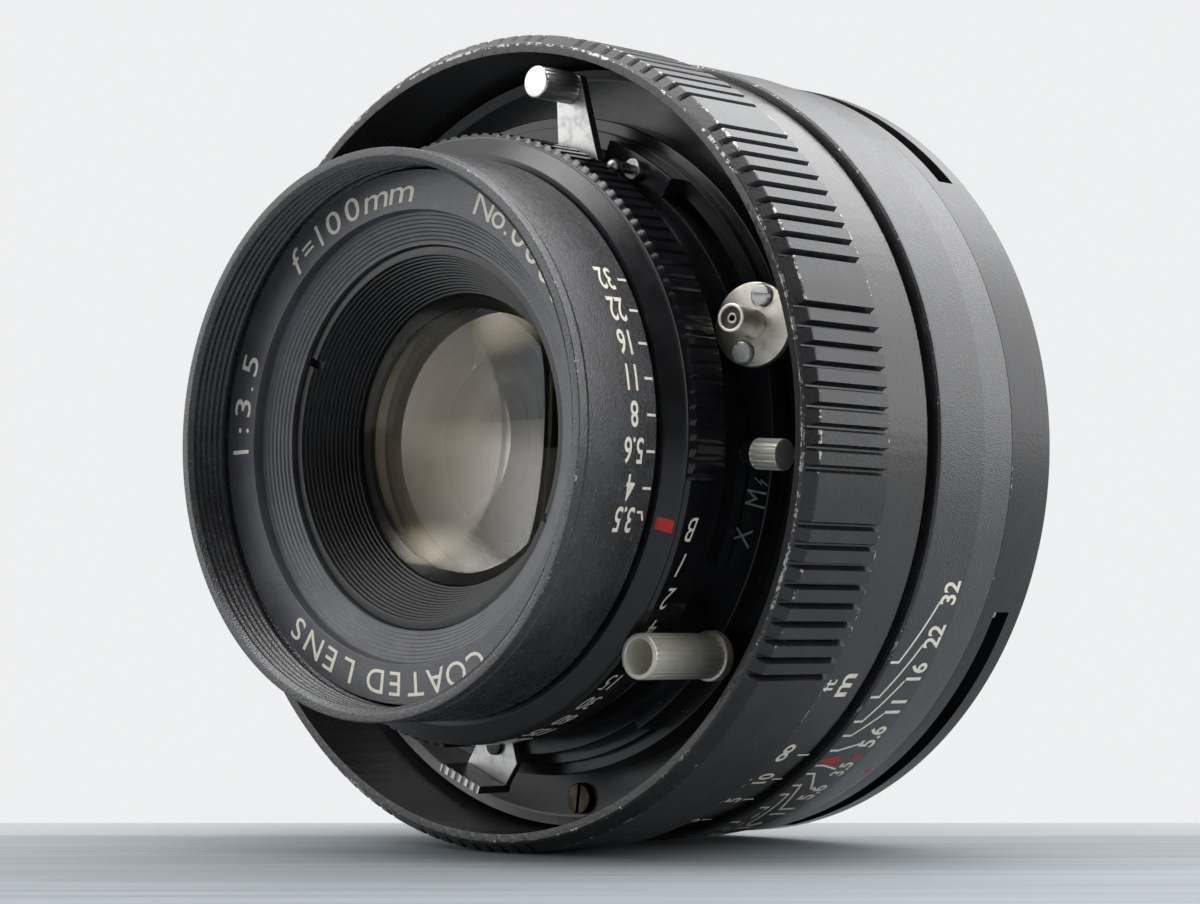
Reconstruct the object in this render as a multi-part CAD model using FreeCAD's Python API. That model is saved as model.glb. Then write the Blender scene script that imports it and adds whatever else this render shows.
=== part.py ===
"""Medium-format leaf-shutter lens in a focusing-helicoid mount, as separate parts.

Frame: millimetres, +Z up.  The optical axis is the Y axis.  The camera seat is
the plane Y = 0, light enters at the front rim on the -Y side, and the origin is
where the axis crosses the seat.  Lengths along the axis are written as depths
behind the front rim.  Angles about the axis start at +X and grow towards +Z.
"""
import FreeCAD, Part
import math
import os

Vector = FreeCAD.Vector

# ---------------------------------------------------------------- driving sizes
LENGTH = 57.6            # front rim to camera seat
RIM_R = 28.5             # outside of the front barrel, 55 mm filter
FILTER_R = 27.1          # crest radius of the M55 x 0.75 filter thread
FILTER_LENGTH = 4.6
BARREL_END = 10.9        # rear end of the front barrel
FOCAL_LENGTH = 100.0
NEAR_DISTANCE = 1000.0
HELICOID_LEAD = 60.0     # axial travel for one full turn of the focusing ring

FOCUS_FRONT = 17.3       # front face of the focusing ring
FOCUS_REAR = 37.2
FOCUS_BORE_R = 40.1
FOCUS_BAND_R = 41.0      # smooth band that carries the distance scale
GRIP_R = 42.1            # tops of the grip ridges
GRIP_START = 18.7
GRIP_END = 29.4
GRIP_GROUPS = 11
GRIP_GROUP_PITCH = 29.0  # degrees from one group of ridges to the next
GRIP_FIRST_START = -13.1
RIDGES_PER_GROUP = 8
RIDGE_PITCH = 2.7        # degrees
FLUTE_DEPTH = 0.85
FLUTE_WIDTH = 0.62       # width of the flute's floor

BARREL_R = 41.8          # fixed barrel with the depth-of-field scale
BARREL_FRONT = 37.9
BARREL_BAND_END = 45.4
BARREL_REAR = 50.7
FLANGE_R = 41.4
LUG_COUNT = 3
LUG_GROOVE_START = 42.0  # degrees, first breech groove
LUG_GROOVE_SPAN = 53.0
LUG_GROOVE_FRONT = 52.9
SPIGOT_R = 33.0
SPIGOT_LENGTH = 3.5

HELICOID_R = 38.4        # outside of the turning helicoid
THREAD_R = 36.5          # helicoid thread, outside of the sliding tube
TUBE_BORE_R = 34.6       # inside of the sliding tube
RETAINER_R = 39.1
RETAINER_FRONT = 50.1
MOUNT_SCREW_R = 40.1
MOUNT_SCREW_SHANK = 0.7
MOUNT_SCREW_HEAD = 1.15
MOUNT_SCREW_ANGLE = 8.5
WEB_FRONT = 54.0         # web of the flange that carries the guide keys
CAM_INNER = 36.9
CAM_OUTER = 38.2
CAM_START = 150.0
CAM_SPAN = 30.0
CAM_STEPS = 6
CAM_DROP = 0.22          # fall of the cam from one step to the next
KEY_ANGLES = (20.0, 110.0, 290.0)
KEY_INNER = 33.75
KEY_OUTER = 35.7
KEY_HALF_WIDTH = 2.0
KEY_FRONT = 33.2
KEY_SCREW_R = 32.2       # radius on which the key screws sit
KEY_SCREW_SHANK = 0.6
PIN_ANGLE = 90.0
PIN_CENTRE_R = 36.6
PIN_R = 1.2

CASE_R = 33.4            # shutter case
CASE_FRONT = 24.4
CASE_REAR = 36.0
CASE_RIM_R = 34.4
CASE_RIM_FRONT = 25.3
CASE_WALL_R = 31.5
COVER_FRONT = 22.4
HUB_R = 29.0             # the speed ring turns on this hub
HUB_BORE_R = 27.6
HUB_FRONT = 11.2
SPEED_R = 31.4
SPEED_FRONT = 12.85
SPEED_REAR = 17.9
SPEED_SCALE_START = -95.0
SPEED_SCALE_END = -9.5
KNURL_PITCH = 360.0 / 130.0
INDEX_REAR = 12.7
CLIP_FRONT = 18.05
CLIP_THICKNESS = 0.6

PLATE_FRONT = 29.0       # dished front plate inside the focusing ring
PLATE_R = 39.75
PLATE_THICKNESS = 1.2
PLATE_SCREWS = 3
PLATE_SCREW_R = 36.9
PLATE_SCREW_ANGLE = -87.0

KNOB_R = 37.0            # cocking knob
KNOB_ANGLE = 76.0
KNOB_FRONT = 14.4
COCKING_FRONT = 19.4
COCKING_REAR = 20.4
RIVET_R = 0.7
RELEASE_PIVOT_R = 31.4
RELEASE_PIVOT_ANGLE = -95.5
RELEASE_FRONT = 21.1
RELEASE_REAR = 21.9
RELEASE_STUD_R = 0.6
SYNC_KNOB_ANGLE = -4.1
SYNC_KNOB_DEPTH = 20.7
SYNC_STEM_R = 0.7
SYNC_STEM_START = 29.8
SYNC_STEM_END = 32.9
SOCKET_R = 33.72         # cable-release socket
SOCKET_ANGLE = -40.5
SOCKET_FRONT = 11.3
STOP_PIN_R = 31.3
STOP_PIN_ANGLE = 60.2
TERMINAL_R = 33.5        # flash terminal
TERMINAL_ANGLE = 17.9
TERMINAL_DEPTH = 21.0
TERMINAL_TILT = 11.0
TERMINAL_HOLES = ((1.75, 2.35), (-1.75, -2.35))
SLEEVE_R = 1.45

RUN = 0.05               # radial clearance of a running fit
SMALL_RUN = 0.04
APERTURE_SWEEP = 47.5    # degrees from f/3.5 to f/32
SHUTTER_BLADES = 5
IRIS_BLADES = 5
BLADE_THICKNESS = 0.12
BLADE_PITCH = 0.28
BLADE_PIVOT_R = 19.5
PUPIL_R = 12.0
SHUTTER_SWING = 36.0     # degrees that a shutter blade turns
IRIS_SWING = 34.0
STUD_R = 0.5
DRIVE_PIN_ANGLE = 150.0
DRIVE_PIN_R = 25.9
DRIVE_PIN_RADIUS = 0.8
IRIS_RING_FRONT = 24.6
IRIS_RING_REAR = 25.3
IRIS_FIRST = 25.6        # front face of the first iris blade
BLADE_PLATE_FRONT = 27.2
BLADE_PLATE_REAR = 28.0
SHUTTER_FIRST = 28.3     # front face of the first shutter blade
BLADE_RING_FRONT = 29.9
BLADE_RING_REAR = 30.6
CEMENT_RADIUS = 32.0     # cemented surface of the rear pair


# ---------------------------------------------------------------- small helpers
def at(radius, angle, depth):
    """Point at a radius and angle about the axis and a depth behind the rim."""
    a = math.radians(angle)
    return Vector(radius * math.cos(a), depth - LENGTH, radius * math.sin(a))


def turned(outline):
    """Solid of revolution about the lens axis from (radius, depth) points."""
    points = [Vector(r, d - LENGTH, 0) for r, d in outline]
    face = Part.Face(Part.makePolygon(points + [points[0]]))
    return face.revolve(Vector(0, 0, 0), Vector(0, 1, 0), 360)


def ring(inner, outer, front, rear):
    """Plain ring between two radii and two depths."""
    if inner <= 0:
        return turned([(0, front), (outer, front), (outer, rear), (0, rear)])
    return turned([(inner, front), (outer, front), (outer, rear), (inner, rear)])


def sector(inner, outer, front, rear, start, end):
    """Part of a ring from one angle to a larger one."""
    corners = [(inner, front), (outer, front), (outer, rear), (inner, rear)]
    points = [Vector(r, d - LENGTH, 0) for r, d in corners]
    face = Part.Face(Part.makePolygon(points + [points[0]]))
    solid = face.revolve(Vector(0, 0, 0), Vector(0, -1, 0), end - start)
    return about_axis(solid, start)


def about_axis(shape, angle):
    """Copy of a shape turned about the lens axis, +X towards +Z."""
    copy = shape.copy()
    copy.rotate(Vector(0, 0, 0), Vector(0, -1, 0), angle)
    return copy


def around(shape, count, start=0.0):
    """Copies of a shape at equal steps about the lens axis."""
    return [about_axis(shape, start + i * 360.0 / count) for i in range(count)]


def rod(radius, centre_r, angle, front, rear):
    """Cylinder parallel to the lens axis."""
    foot = at(centre_r, angle, front)
    return Part.makeCylinder(radius, rear - front, foot, Vector(0, 1, 0))


def radial_rod(radius, inner, outer, angle, depth):
    """Cylinder that points away from the lens axis."""
    outward = at(1, angle, LENGTH)
    return Part.makeCylinder(radius, outer - inner, at(inner, angle, depth), outward)


def plate(corners, front, rear):
    """Flat plate across the axis from (radius, angle) corners."""
    points = [at(r, a, front) for r, a in corners]
    face = Part.Face(Part.makePolygon(points + [points[0]]))
    return face.extrude(Vector(0, rear - front, 0))


def fluted(shape, radius, centre, direction, length, count, groove_r):
    """Cut straight round-bottomed flutes around a small knob."""
    cutter = Part.makeCylinder(groove_r, length, centre, direction)
    side = direction.cross(Vector(0, 0, 1))
    side.normalize()
    cutter.translate(side * (radius + 0.3 * groove_r))
    cutters = []
    for i in range(count):
        copy = cutter.copy()
        copy.rotate(centre, direction, i * 360.0 / count)
        cutters.append(copy)
    return shape.cut(Part.Compound(cutters))


def lens(front_vertex, front_radius, rear_vertex, rear_radius, half_diameter):
    """Glass element.  A positive radius has its centre behind the surface."""
    def sag(radius):
        rise = abs(radius) - math.sqrt(radius * radius - half_diameter * half_diameter)
        return math.copysign(rise, radius)

    def middle(radius):
        half = half_diameter / 2.0
        rise = abs(radius) - math.sqrt(radius * radius - half * half)
        return math.copysign(rise, radius)

    y_front = front_vertex - LENGTH
    y_rear = rear_vertex - LENGTH
    a = Vector(0, y_front, 0)
    b = Vector(half_diameter / 2.0, y_front + middle(front_radius), 0)
    c = Vector(half_diameter, y_front + sag(front_radius), 0)
    d = Vector(half_diameter, y_rear + sag(rear_radius), 0)
    e = Vector(half_diameter / 2.0, y_rear + middle(rear_radius), 0)
    f = Vector(0, y_rear, 0)
    edges = [Part.Arc(a, b, c).toShape(), Part.makeLine(c, d)]
    edges += [Part.Arc(d, e, f).toShape(), Part.makeLine(f, a)]
    face = Part.Face(Part.Wire(edges))
    return face.revolve(Vector(0, 0, 0), Vector(0, 1, 0), 360)


def slotted_screw(head_r, head_t, shank_r, shank_l, centre_r, angle, seat, slot_turn):
    """Cheese-head screw whose head stands in front of its seat depth."""
    head = rod(head_r, centre_r, angle, seat - head_t, seat)
    shank = rod(shank_r, centre_r, angle, seat, seat + shank_l)
    centre = at(centre_r, angle, seat - head_t)
    slot = Part.makeBox(2.4 * head_r, head_t * 0.5, head_r * 0.26)
    slot.translate(Vector(-1.2 * head_r, 0, -head_r * 0.13))
    slot.rotate(Vector(0, 0, 0), Vector(0, -1, 0), slot_turn)
    slot.translate(centre)
    return head.fuse(shank).cut(slot).removeSplitter()


# ---------------------------------------------------------------- fixed mount
def fixed_barrel():
    """Barrel with the depth-of-field scale; the helicoid turns in its bore."""
    shell = turned([
        (HELICOID_R + RUN, BARREL_FRONT), (BARREL_R - 0.5, BARREL_FRONT),
        (BARREL_R, BARREL_FRONT + 0.5), (BARREL_R, BARREL_BAND_END),
        (BARREL_R - 0.35, BARREL_REAR - 0.35), (BARREL_R - 0.7, BARREL_REAR),
        (RETAINER_R + 0.1, BARREL_REAR), (RETAINER_R + 0.1, RETAINER_FRONT - 0.1),
        (HELICOID_R + RUN, RETAINER_FRONT - 0.1)])
    holes = around(rod(MOUNT_SCREW_SHANK, MOUNT_SCREW_R, 0, BARREL_REAR - 4.5, BARREL_REAR + 1),
                   LUG_COUNT, MOUNT_SCREW_ANGLE)
    return shell.cut(Part.Compound(holes))


def mount_flange():
    """Breech flange with three lugs, the camera seat and the rear spigot."""
    body = turned([
        (40.3, BARREL_REAR), (FLANGE_R - 0.5, BARREL_REAR), (FLANGE_R, BARREL_REAR + 0.5),
        (FLANGE_R, LENGTH - 0.4), (FLANGE_R - 0.4, LENGTH), (SPIGOT_R, LENGTH),
        (SPIGOT_R, LENGTH + SPIGOT_LENGTH - 0.5), (SPIGOT_R - 0.5, LENGTH + SPIGOT_LENGTH),
        (30.5, LENGTH + SPIGOT_LENGTH), (30.5, WEB_FRONT), (38.45, WEB_FRONT),
        (38.45, BARREL_REAR + 1.2), (39.3, BARREL_REAR)])
    cutters = []
    for i in range(LUG_COUNT):
        start = LUG_GROOVE_START + i * 360.0 / LUG_COUNT
        groove = sector(39.2, FLANGE_R + 2, LUG_GROOVE_FRONT, LENGTH - 2.2, start,
                        start + LUG_GROOVE_SPAN)
        cutters.append(groove)
    cutters += around(rod(MOUNT_SCREW_SHANK, MOUNT_SCREW_R, 0, BARREL_REAR - 1, LENGTH + 1),
                      LUG_COUNT, MOUNT_SCREW_ANGLE)
    cutters += around(rod(MOUNT_SCREW_HEAD, MOUNT_SCREW_R, 0, LENGTH - 1.0, LENGTH + 1),
                      LUG_COUNT, MOUNT_SCREW_ANGLE)
    travel = focus_turn() + CAM_SPAN
    cutters.append(sector(CAM_INNER - 0.4, CAM_OUTER + 0.35, WEB_FRONT - 1, LENGTH + 1,
                          CAM_START - 3, CAM_START + travel + 3))
    cutters.append(rod(PIN_R, PIN_CENTRE_R, PIN_ANGLE, LENGTH - 2.5, LENGTH + 1))
    for angle in KEY_ANGLES:
        cutters.append(rod(KEY_SCREW_SHANK, KEY_SCREW_R, angle, WEB_FRONT - 1, WEB_FRONT + 2.6))
    return body.cut(Part.Compound(cutters))


def mount_screws():
    """Three flat-head screws that hold the flange to the barrel."""
    head = rod(MOUNT_SCREW_HEAD, MOUNT_SCREW_R, 0, LENGTH - 1.0, LENGTH - 0.15)
    shank = rod(MOUNT_SCREW_SHANK, MOUNT_SCREW_R, 0, BARREL_REAR - 4.5, LENGTH - 1.0)
    slot_width = 0.3
    corner = at(MOUNT_SCREW_R - 1.5, 0, LENGTH - 0.55) - Vector(0, 0, slot_width / 2.0)
    slot = Part.makeBox(3.0, 0.8, slot_width, corner)
    screw = head.fuse(shank).cut(slot).removeSplitter()
    return Part.Compound(around(screw, LUG_COUNT, MOUNT_SCREW_ANGLE))


def locating_pin():
    """Dowel on the seat that stops the lens turning in the camera."""
    return rod(PIN_R, PIN_CENTRE_R, PIN_ANGLE, LENGTH - 2.5, LENGTH + 2.0)


def guide_keys():
    """Straight keys that stop the optical unit turning while it slides."""
    keys = []
    foot_inner = 31.0
    for angle in KEY_ANGLES:
        bar = Part.makeBox(KEY_OUTER - KEY_INNER, WEB_FRONT - KEY_FRONT, 2 * KEY_HALF_WIDTH)
        bar.translate(Vector(KEY_INNER, KEY_FRONT - LENGTH, -KEY_HALF_WIDTH))
        foot = Part.makeBox(KEY_OUTER - foot_inner, 1.5, 2 * KEY_HALF_WIDTH)
        foot.translate(Vector(foot_inner, WEB_FRONT - 1.5 - LENGTH, -KEY_HALF_WIDTH))
        hole = rod(KEY_SCREW_SHANK, KEY_SCREW_R, 0, WEB_FRONT - 2, WEB_FRONT + 1)
        keys.append(about_axis(bar.fuse(foot).cut(hole).removeSplitter(), angle))
    return Part.Compound(keys)


def key_screws():
    """One small screw through the foot of each key."""
    screws = []
    for angle in KEY_ANGLES:
        screws.append(slotted_screw(1.0, 0.6, KEY_SCREW_SHANK, 4.0, KEY_SCREW_R, angle,
                                    WEB_FRONT - 1.5, 0))
    return Part.Compound(screws)


# ---------------------------------------------------------------- focusing ring
def focus_turn():
    """Degrees of the focusing ring from infinity to the near distance."""
    extension = FOCAL_LENGTH ** 2 / (NEAR_DISTANCE - FOCAL_LENGTH)
    return extension / HELICOID_LEAD * 360.0


def focus_ring():
    """Bowl-shaped focusing ring with groups of milled grip ridges."""
    body = turned([
        (FOCUS_BORE_R, FOCUS_FRONT), (FOCUS_BAND_R, FOCUS_FRONT), (GRIP_R, GRIP_START),
        (GRIP_R, GRIP_END), (FOCUS_BAND_R, GRIP_END + 0.35), (FOCUS_BAND_R, FOCUS_REAR - 0.5),
        (FOCUS_BAND_R - 0.5, FOCUS_REAR), (HELICOID_R + 0.02, FOCUS_REAR),
        (HELICOID_R + 0.02, FOCUS_REAR - 2.4), (FOCUS_BORE_R, FOCUS_REAR - 2.4)])
    flutes = []
    for group in range(GRIP_GROUPS):
        first = GRIP_FIRST_START + group * GRIP_GROUP_PITCH
        for line in range(RIDGES_PER_GROUP + 1):
            flutes.append(grip_flute(first - line * RIDGE_PITCH))
    return body.cut(Part.Compound(flutes))


def grip_flute(angle):
    """One V-sided flute between two ridges, open at the front chamfer."""
    floor_r = GRIP_R - FLUTE_DEPTH
    half = FLUTE_WIDTH / 2.0
    top = GRIP_R + 0.6
    points = [Vector(floor_r, 0, -half * 0.35), Vector(floor_r, 0, half * 0.35),
              Vector(top, 0, half * 1.6), Vector(top, 0, -half * 1.6)]
    face = Part.Face(Part.makePolygon(points + [points[0]]))
    start = FOCUS_FRONT + 0.35
    solid = face.extrude(Vector(0, GRIP_END + 0.8 - start, 0))
    solid.translate(Vector(0, start - LENGTH, 0))
    return about_axis(solid, angle)


def focus_helicoid():
    """Brass sleeve with the female multi-start thread, fixed in the ring."""
    flange_front = FOCUS_REAR - 3.6
    return turned([
        (THREAD_R + RUN, flange_front), (FOCUS_BORE_R - 0.02, flange_front),
        (FOCUS_BORE_R - 0.02, FOCUS_REAR - 2.4), (HELICOID_R, FOCUS_REAR - 2.4),
        (HELICOID_R, RETAINER_FRONT), (THREAD_R + RUN, RETAINER_FRONT)])


def helicoid_lock_ring():
    """Threaded ring that clamps the helicoid's flange in the focusing ring."""
    rear = FOCUS_REAR - 3.6
    body = ring(38.8, FOCUS_BORE_R - 0.02, rear - 0.7, rear)
    notch = Part.makeBox(2.0, 0.5, 1.2, Vector(38.3, rear - 0.8 - LENGTH, -0.6))
    return body.cut(Part.Compound(around(notch, 2)))


def helicoid_retainer():
    """Rear ring that keeps the helicoid in the barrel's bore."""
    return ring(CAM_INNER, RETAINER_R, RETAINER_FRONT, RETAINER_FRONT + 0.5)


def rangefinder_cam():
    """Sloping cam that turns with the helicoid and reaches through the seat."""
    front = RETAINER_FRONT + 0.5
    body = sector(CAM_INNER, CAM_OUTER, front, LENGTH + 2.4, CAM_START, CAM_START + CAM_SPAN)
    slope = []
    for step in range(1, CAM_STEPS):
        start = CAM_START + step * CAM_SPAN / CAM_STEPS
        rear = LENGTH + 2.3 - CAM_DROP * step
        slope.append(sector(CAM_INNER - 1, CAM_OUTER + 1, rear, LENGTH + 4, start - 0.01,
                            start + CAM_SPAN / CAM_STEPS + 0.01))
    return body.cut(Part.Compound(slope))


# ---------------------------------------------------------------- optical carriage
def carriage_helicoid():
    """Sliding tube with the male thread; its front flange holds the plate."""
    front = PLATE_FRONT + PLATE_THICKNESS
    body = turned([
        (TUBE_BORE_R, front), (PLATE_R - 0.1, front), (PLATE_R - 0.1, front + 2.2),
        (THREAD_R, front + 2.2), (THREAD_R, 51.5), (TUBE_BORE_R, 51.5)])
    cutters = []
    slot_depth = 3.0
    for angle in KEY_ANGLES:
        slot = Part.makeBox(slot_depth, 25.0, 2 * (KEY_HALF_WIDTH + SMALL_RUN))
        slot.translate(Vector(KEY_OUTER + 0.15 - slot_depth, KEY_FRONT - 0.3 - LENGTH,
                              -KEY_HALF_WIDTH - SMALL_RUN))
        cutters.append(about_axis(slot, angle))
    cutters += around(rod(0.9, PLATE_SCREW_R, 0, front - 1, front + 3),
                      PLATE_SCREWS, PLATE_SCREW_ANGLE)
    return body.cut(Part.Compound(cutters))


def front_plate():
    """Black plate that closes the bowl around the shutter."""
    body = turned([
        (CASE_R + 0.1, PLATE_FRONT), (PLATE_R - 1.0, PLATE_FRONT), (PLATE_R, PLATE_FRONT - 0.5),
        (PLATE_R, PLATE_FRONT + PLATE_THICKNESS), (CASE_R + 0.1, PLATE_FRONT + PLATE_THICKNESS)])
    holes = around(rod(0.9, PLATE_SCREW_R, 0, PLATE_FRONT - 1, PLATE_FRONT + 3),
                   PLATE_SCREWS, PLATE_SCREW_ANGLE)
    return body.cut(Part.Compound(holes))


def plate_screws():
    """Slotted screws that hold the front plate."""
    screws = []
    for i in range(PLATE_SCREWS):
        angle = PLATE_SCREW_ANGLE + i * 360.0 / PLATE_SCREWS
        screws.append(slotted_screw(1.6, 0.7, 0.9, 3.0, PLATE_SCREW_R, angle, PLATE_FRONT, 75))
    return Part.Compound(screws)


def shutter_case():
    """Cup that holds the shutter and the iris, with a rim on the plate."""
    return turned([
        (CASE_WALL_R, CASE_FRONT), (CASE_R - 0.2, CASE_FRONT), (CASE_R - 0.2, CASE_RIM_FRONT),
        (CASE_RIM_R - 0.15, CASE_RIM_FRONT), (CASE_RIM_R, CASE_RIM_FRONT + 0.15),
        (CASE_RIM_R, PLATE_FRONT), (CASE_R, PLATE_FRONT), (CASE_R, CASE_REAR),
        (16.5, CASE_REAR), (16.5, CASE_REAR - 1.2), (CASE_WALL_R, CASE_REAR - 1.2)])


def case_nut():
    """Ring nut that clamps the case to the front plate."""
    front = PLATE_FRONT + PLATE_THICKNESS
    body = ring(CASE_R + 0.02, 34.4, front, front + 1.8)
    notch = Part.makeBox(2.0, 1.0, 2.0, Vector(CASE_R - 0.3, front + 1.1 - LENGTH, -1.0))
    return body.cut(Part.Compound(around(notch, 4, 45)))


def cover_outline():
    """Stepped outline of the cover: (start angle, end angle, radius)."""
    return [(-62, 12, 33.2), (12, 24, 31.6), (24, 52, 30.6), (52, 69, 32.8),
            (69, 92, 30.2), (92, 135, 31.2), (135, 215, 32.6), (215, 250, 31.2), (250, 298, 32.2)]


def shutter_cover():
    """Front cover of the shutter with the hub for the rings."""
    body = turned([
        (21.0, 16.0), (23.0, 16.0), (23.0, COVER_FRONT), (HUB_BORE_R, COVER_FRONT),
        (HUB_BORE_R, HUB_FRONT), (28.0, HUB_FRONT), (28.0, INDEX_REAR), (HUB_R, INDEX_REAR),
        (HUB_R, COVER_FRONT), (30.0, COVER_FRONT), (30.0, CASE_FRONT), (21.0, CASE_FRONT)])
    for start, end, radius in cover_outline():
        body = body.fuse(sector(29.5, radius, COVER_FRONT, CASE_FRONT, start, end))
    slot = sector(24.8, 27.0, COVER_FRONT - 0.5, CASE_FRONT + 0.5,
                  DRIVE_PIN_ANGLE - APERTURE_SWEEP - 3, DRIVE_PIN_ANGLE + 3)
    groove = ring(HUB_R - 0.55, HUB_R + 1, CLIP_FRONT - 0.02, CLIP_FRONT + CLIP_THICKNESS + 0.02)
    head_rear = RELEASE_FRONT - 0.15
    stud = rod(RELEASE_STUD_R, RELEASE_PIVOT_R, RELEASE_PIVOT_ANGLE, head_rear, COVER_FRONT + 1)
    stud_head = rod(1.0, RELEASE_PIVOT_R, RELEASE_PIVOT_ANGLE, head_rear - 0.35, head_rear)
    body = body.fuse(stud).fuse(stud_head)
    return body.cut(slot).cut(groove).removeSplitter()


def index_ring():
    """Bevelled ring that carries the red index mark."""
    return turned([
        (28.0, HUB_FRONT), (29.0, HUB_FRONT), (30.7, INDEX_REAR - 0.45), (30.9, INDEX_REAR - 0.2),
        (30.9, INDEX_REAR), (28.0, INDEX_REAR)])


def speed_ring():
    """Shutter-speed ring, knurled except where its scale is engraved."""
    body = turned([
        (HUB_R + RUN, SPEED_FRONT), (30.6, SPEED_FRONT), (SPEED_R, SPEED_FRONT + 0.5),
        (SPEED_R, SPEED_REAR - 0.3), (SPEED_R - 0.3, SPEED_REAR), (HUB_R + RUN, SPEED_REAR)])
    smooth = sector(31.0, SPEED_R + 1, SPEED_FRONT - 1, SPEED_REAR + 1,
                    SPEED_SCALE_START, SPEED_SCALE_END)
    flutes = []
    knurled_span = 360.0 + SPEED_SCALE_START - SPEED_SCALE_END
    for i in range(int(knurled_span / KNURL_PITCH)):
        angle = SPEED_SCALE_END + (i + 0.5) * KNURL_PITCH
        flutes.append(rod(0.42, SPEED_R + 0.12, angle, SPEED_FRONT - 1, SPEED_REAR + 1))
    return body.cut(smooth).cut(Part.Compound(flutes))


def speed_ring_clip():
    """Open wire ring that keeps the speed ring on the hub."""
    return sector(HUB_R - 0.53, HUB_R + 0.7, CLIP_FRONT, CLIP_FRONT + CLIP_THICKNESS, 100, 440)


def name_ring():
    """Lettered front ring with a stepped inner bevel."""
    inner = 19.45
    outer = 22.6
    deep = 7.3
    shallow = 5.8
    steps = 8
    outline = [(26.8, 4.9), (26.8, 6.3), (26.3, 6.3), (26.3, 7.9), (inner, 7.9), (inner, deep)]
    for i in range(steps):
        r = inner + (outer - inner) * i / steps
        d = deep - (deep - shallow) * i / steps
        outline.append((r + 0.12, d))
        outline.append((r + (outer - inner) / steps, d - 0.02))
    outline += [(outer, 5.6), (22.75, 4.9)]
    return turned(outline)


def front_baffle_ring():
    """Ridged retaining ring of the front element, with two spanner notches."""
    outer = 19.3
    inner = 14.9
    front = 7.75
    rear = 12.9
    rim = 0.7
    steps = 14
    outline = [(outer, front), (outer, rear + 0.48), (15.6, rear + 0.48), (inner, rear + 0.08)]
    for i in range(steps):
        r = inner + (outer - rim - inner) * i / steps
        d = rear - (rear - front) * i / steps
        outline.append((r, d))
        outline.append((r + 0.08, d - (rear - front) / steps))
    outline.append((outer - rim, front))
    notch = Part.makeBox(1.6, 0.9, 0.9, Vector(outer - 1.3, front - 0.2 - LENGTH, -0.45))
    return turned(outline).cut(Part.Compound(around(notch, 2, 153.0)))


def front_cell():
    """Barrel of the front two elements; the aperture ring turns on it."""
    return turned([
        (19.32, 7.95), (26.25, 7.95), (FILTER_R - RUN, 7.95), (FILTER_R - RUN, 9.6), (24.3, 9.6),
        (24.3, 15.9), (20.95, 15.9), (20.95, 22.0), (12.62, 22.0), (12.62, 17.0),
        (15.62, 17.0), (15.62, 13.6), (19.32, 13.6)])


def front_element():
    """Front positive element."""
    return lens(9.2, 31.0, 15.2, -400.0, 15.6)


def cell_spacer():
    """Blackened ring between the first two elements."""
    return turned([(12.9, 15.02), (15.6, 14.93), (15.6, 17.0), (12.9, 17.0)])


def second_element():
    """Thin biconcave element."""
    return lens(18.3, -58.0, 19.9, 27.5, 12.6)


def second_retainer():
    """Threaded ring behind the second element."""
    return turned([
        (11.8, 23.0), (11.8, 23.6), (16.4, 23.6), (16.4, 22.0), (12.7, 22.0), (12.7, 23.0)])


def rear_cell():
    """Barrel of the rear cemented pair, screwed into the case."""
    return turned([
        (12.9, 33.2), (16.45, 33.2), (16.45, CASE_REAR), (18.6, CASE_REAR), (18.6, 37.4),
        (17.0, 37.4), (17.0, 43.0), (16.6, 43.4), (14.05, 43.4), (14.05, 34.5), (12.9, 34.55)])


def rear_doublet_front():
    """Negative half of the cemented pair."""
    return lens(35.2, -160.0, 36.6, CEMENT_RADIUS, 14.0)


def rear_doublet_rear():
    """Positive half of the cemented pair."""
    return lens(36.6, CEMENT_RADIUS, 42.6, -45.0, 14.0)


def rear_retaining_ring():
    """Threaded ring behind the rear pair, with two spanner notches."""
    body = turned([(13.0, 40.8), (14.03, 40.45), (14.03, 42.9), (13.0, 42.9)])
    notch = Part.makeBox(1.4, 0.7, 0.8, Vector(12.8, 42.4 - LENGTH, -0.4))
    return body.cut(Part.Compound(around(notch, 2, 30)))


def rear_hood():
    """Ribbed light guard behind the shutter."""
    outline = [(27.2, CASE_REAR + 0.02), (27.2, 49.0), (26.2, 49.0)]
    ribs = 9
    for i in range(ribs):
        d = 48.6 - i * 1.3
        outline.append((25.7, d))
        outline.append((26.2, d - 1.2))
    outline += [(25.7, 36.9), (19.0, 36.9), (19.0, CASE_REAR + 0.02)]
    return turned(outline)


# ---------------------------------------------------------------- aperture
def aperture_ring():
    """Front barrel with the filter thread, which sets the aperture."""
    groove = 0.22
    outline = [(FILTER_R + 0.5, 0.0), (RIM_R - 0.15, 0.0), (RIM_R, 0.15), (RIM_R, 1.1),
               (RIM_R - 0.12, 1.2), (RIM_R, 1.3), (RIM_R, BARREL_END - 0.2),
               (RIM_R - 0.2, BARREL_END),
               (25.2, BARREL_END), (25.2, BARREL_END - 1.1), (FILTER_R, BARREL_END - 1.1),
               (FILTER_R, 5.5), (FILTER_R + 0.45, 5.3), (FILTER_R + 0.45, FILTER_LENGTH),
               (FILTER_R, FILTER_LENGTH)]
    turns = 5
    for i in range(turns):
        d = FILTER_LENGTH - 0.4 - i * 0.75
        outline.append((FILTER_R, d))
        outline.append((FILTER_R + groove, d - 0.2))
        outline.append((FILTER_R + groove, d - 0.35))
        outline.append((FILTER_R, d - 0.55))
    outline.append((FILTER_R, 0.4))
    hole = rod(DRIVE_PIN_RADIUS, DRIVE_PIN_R, DRIVE_PIN_ANGLE, BARREL_END - 2, BARREL_END + 1)
    return turned(outline).cut(hole)


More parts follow.
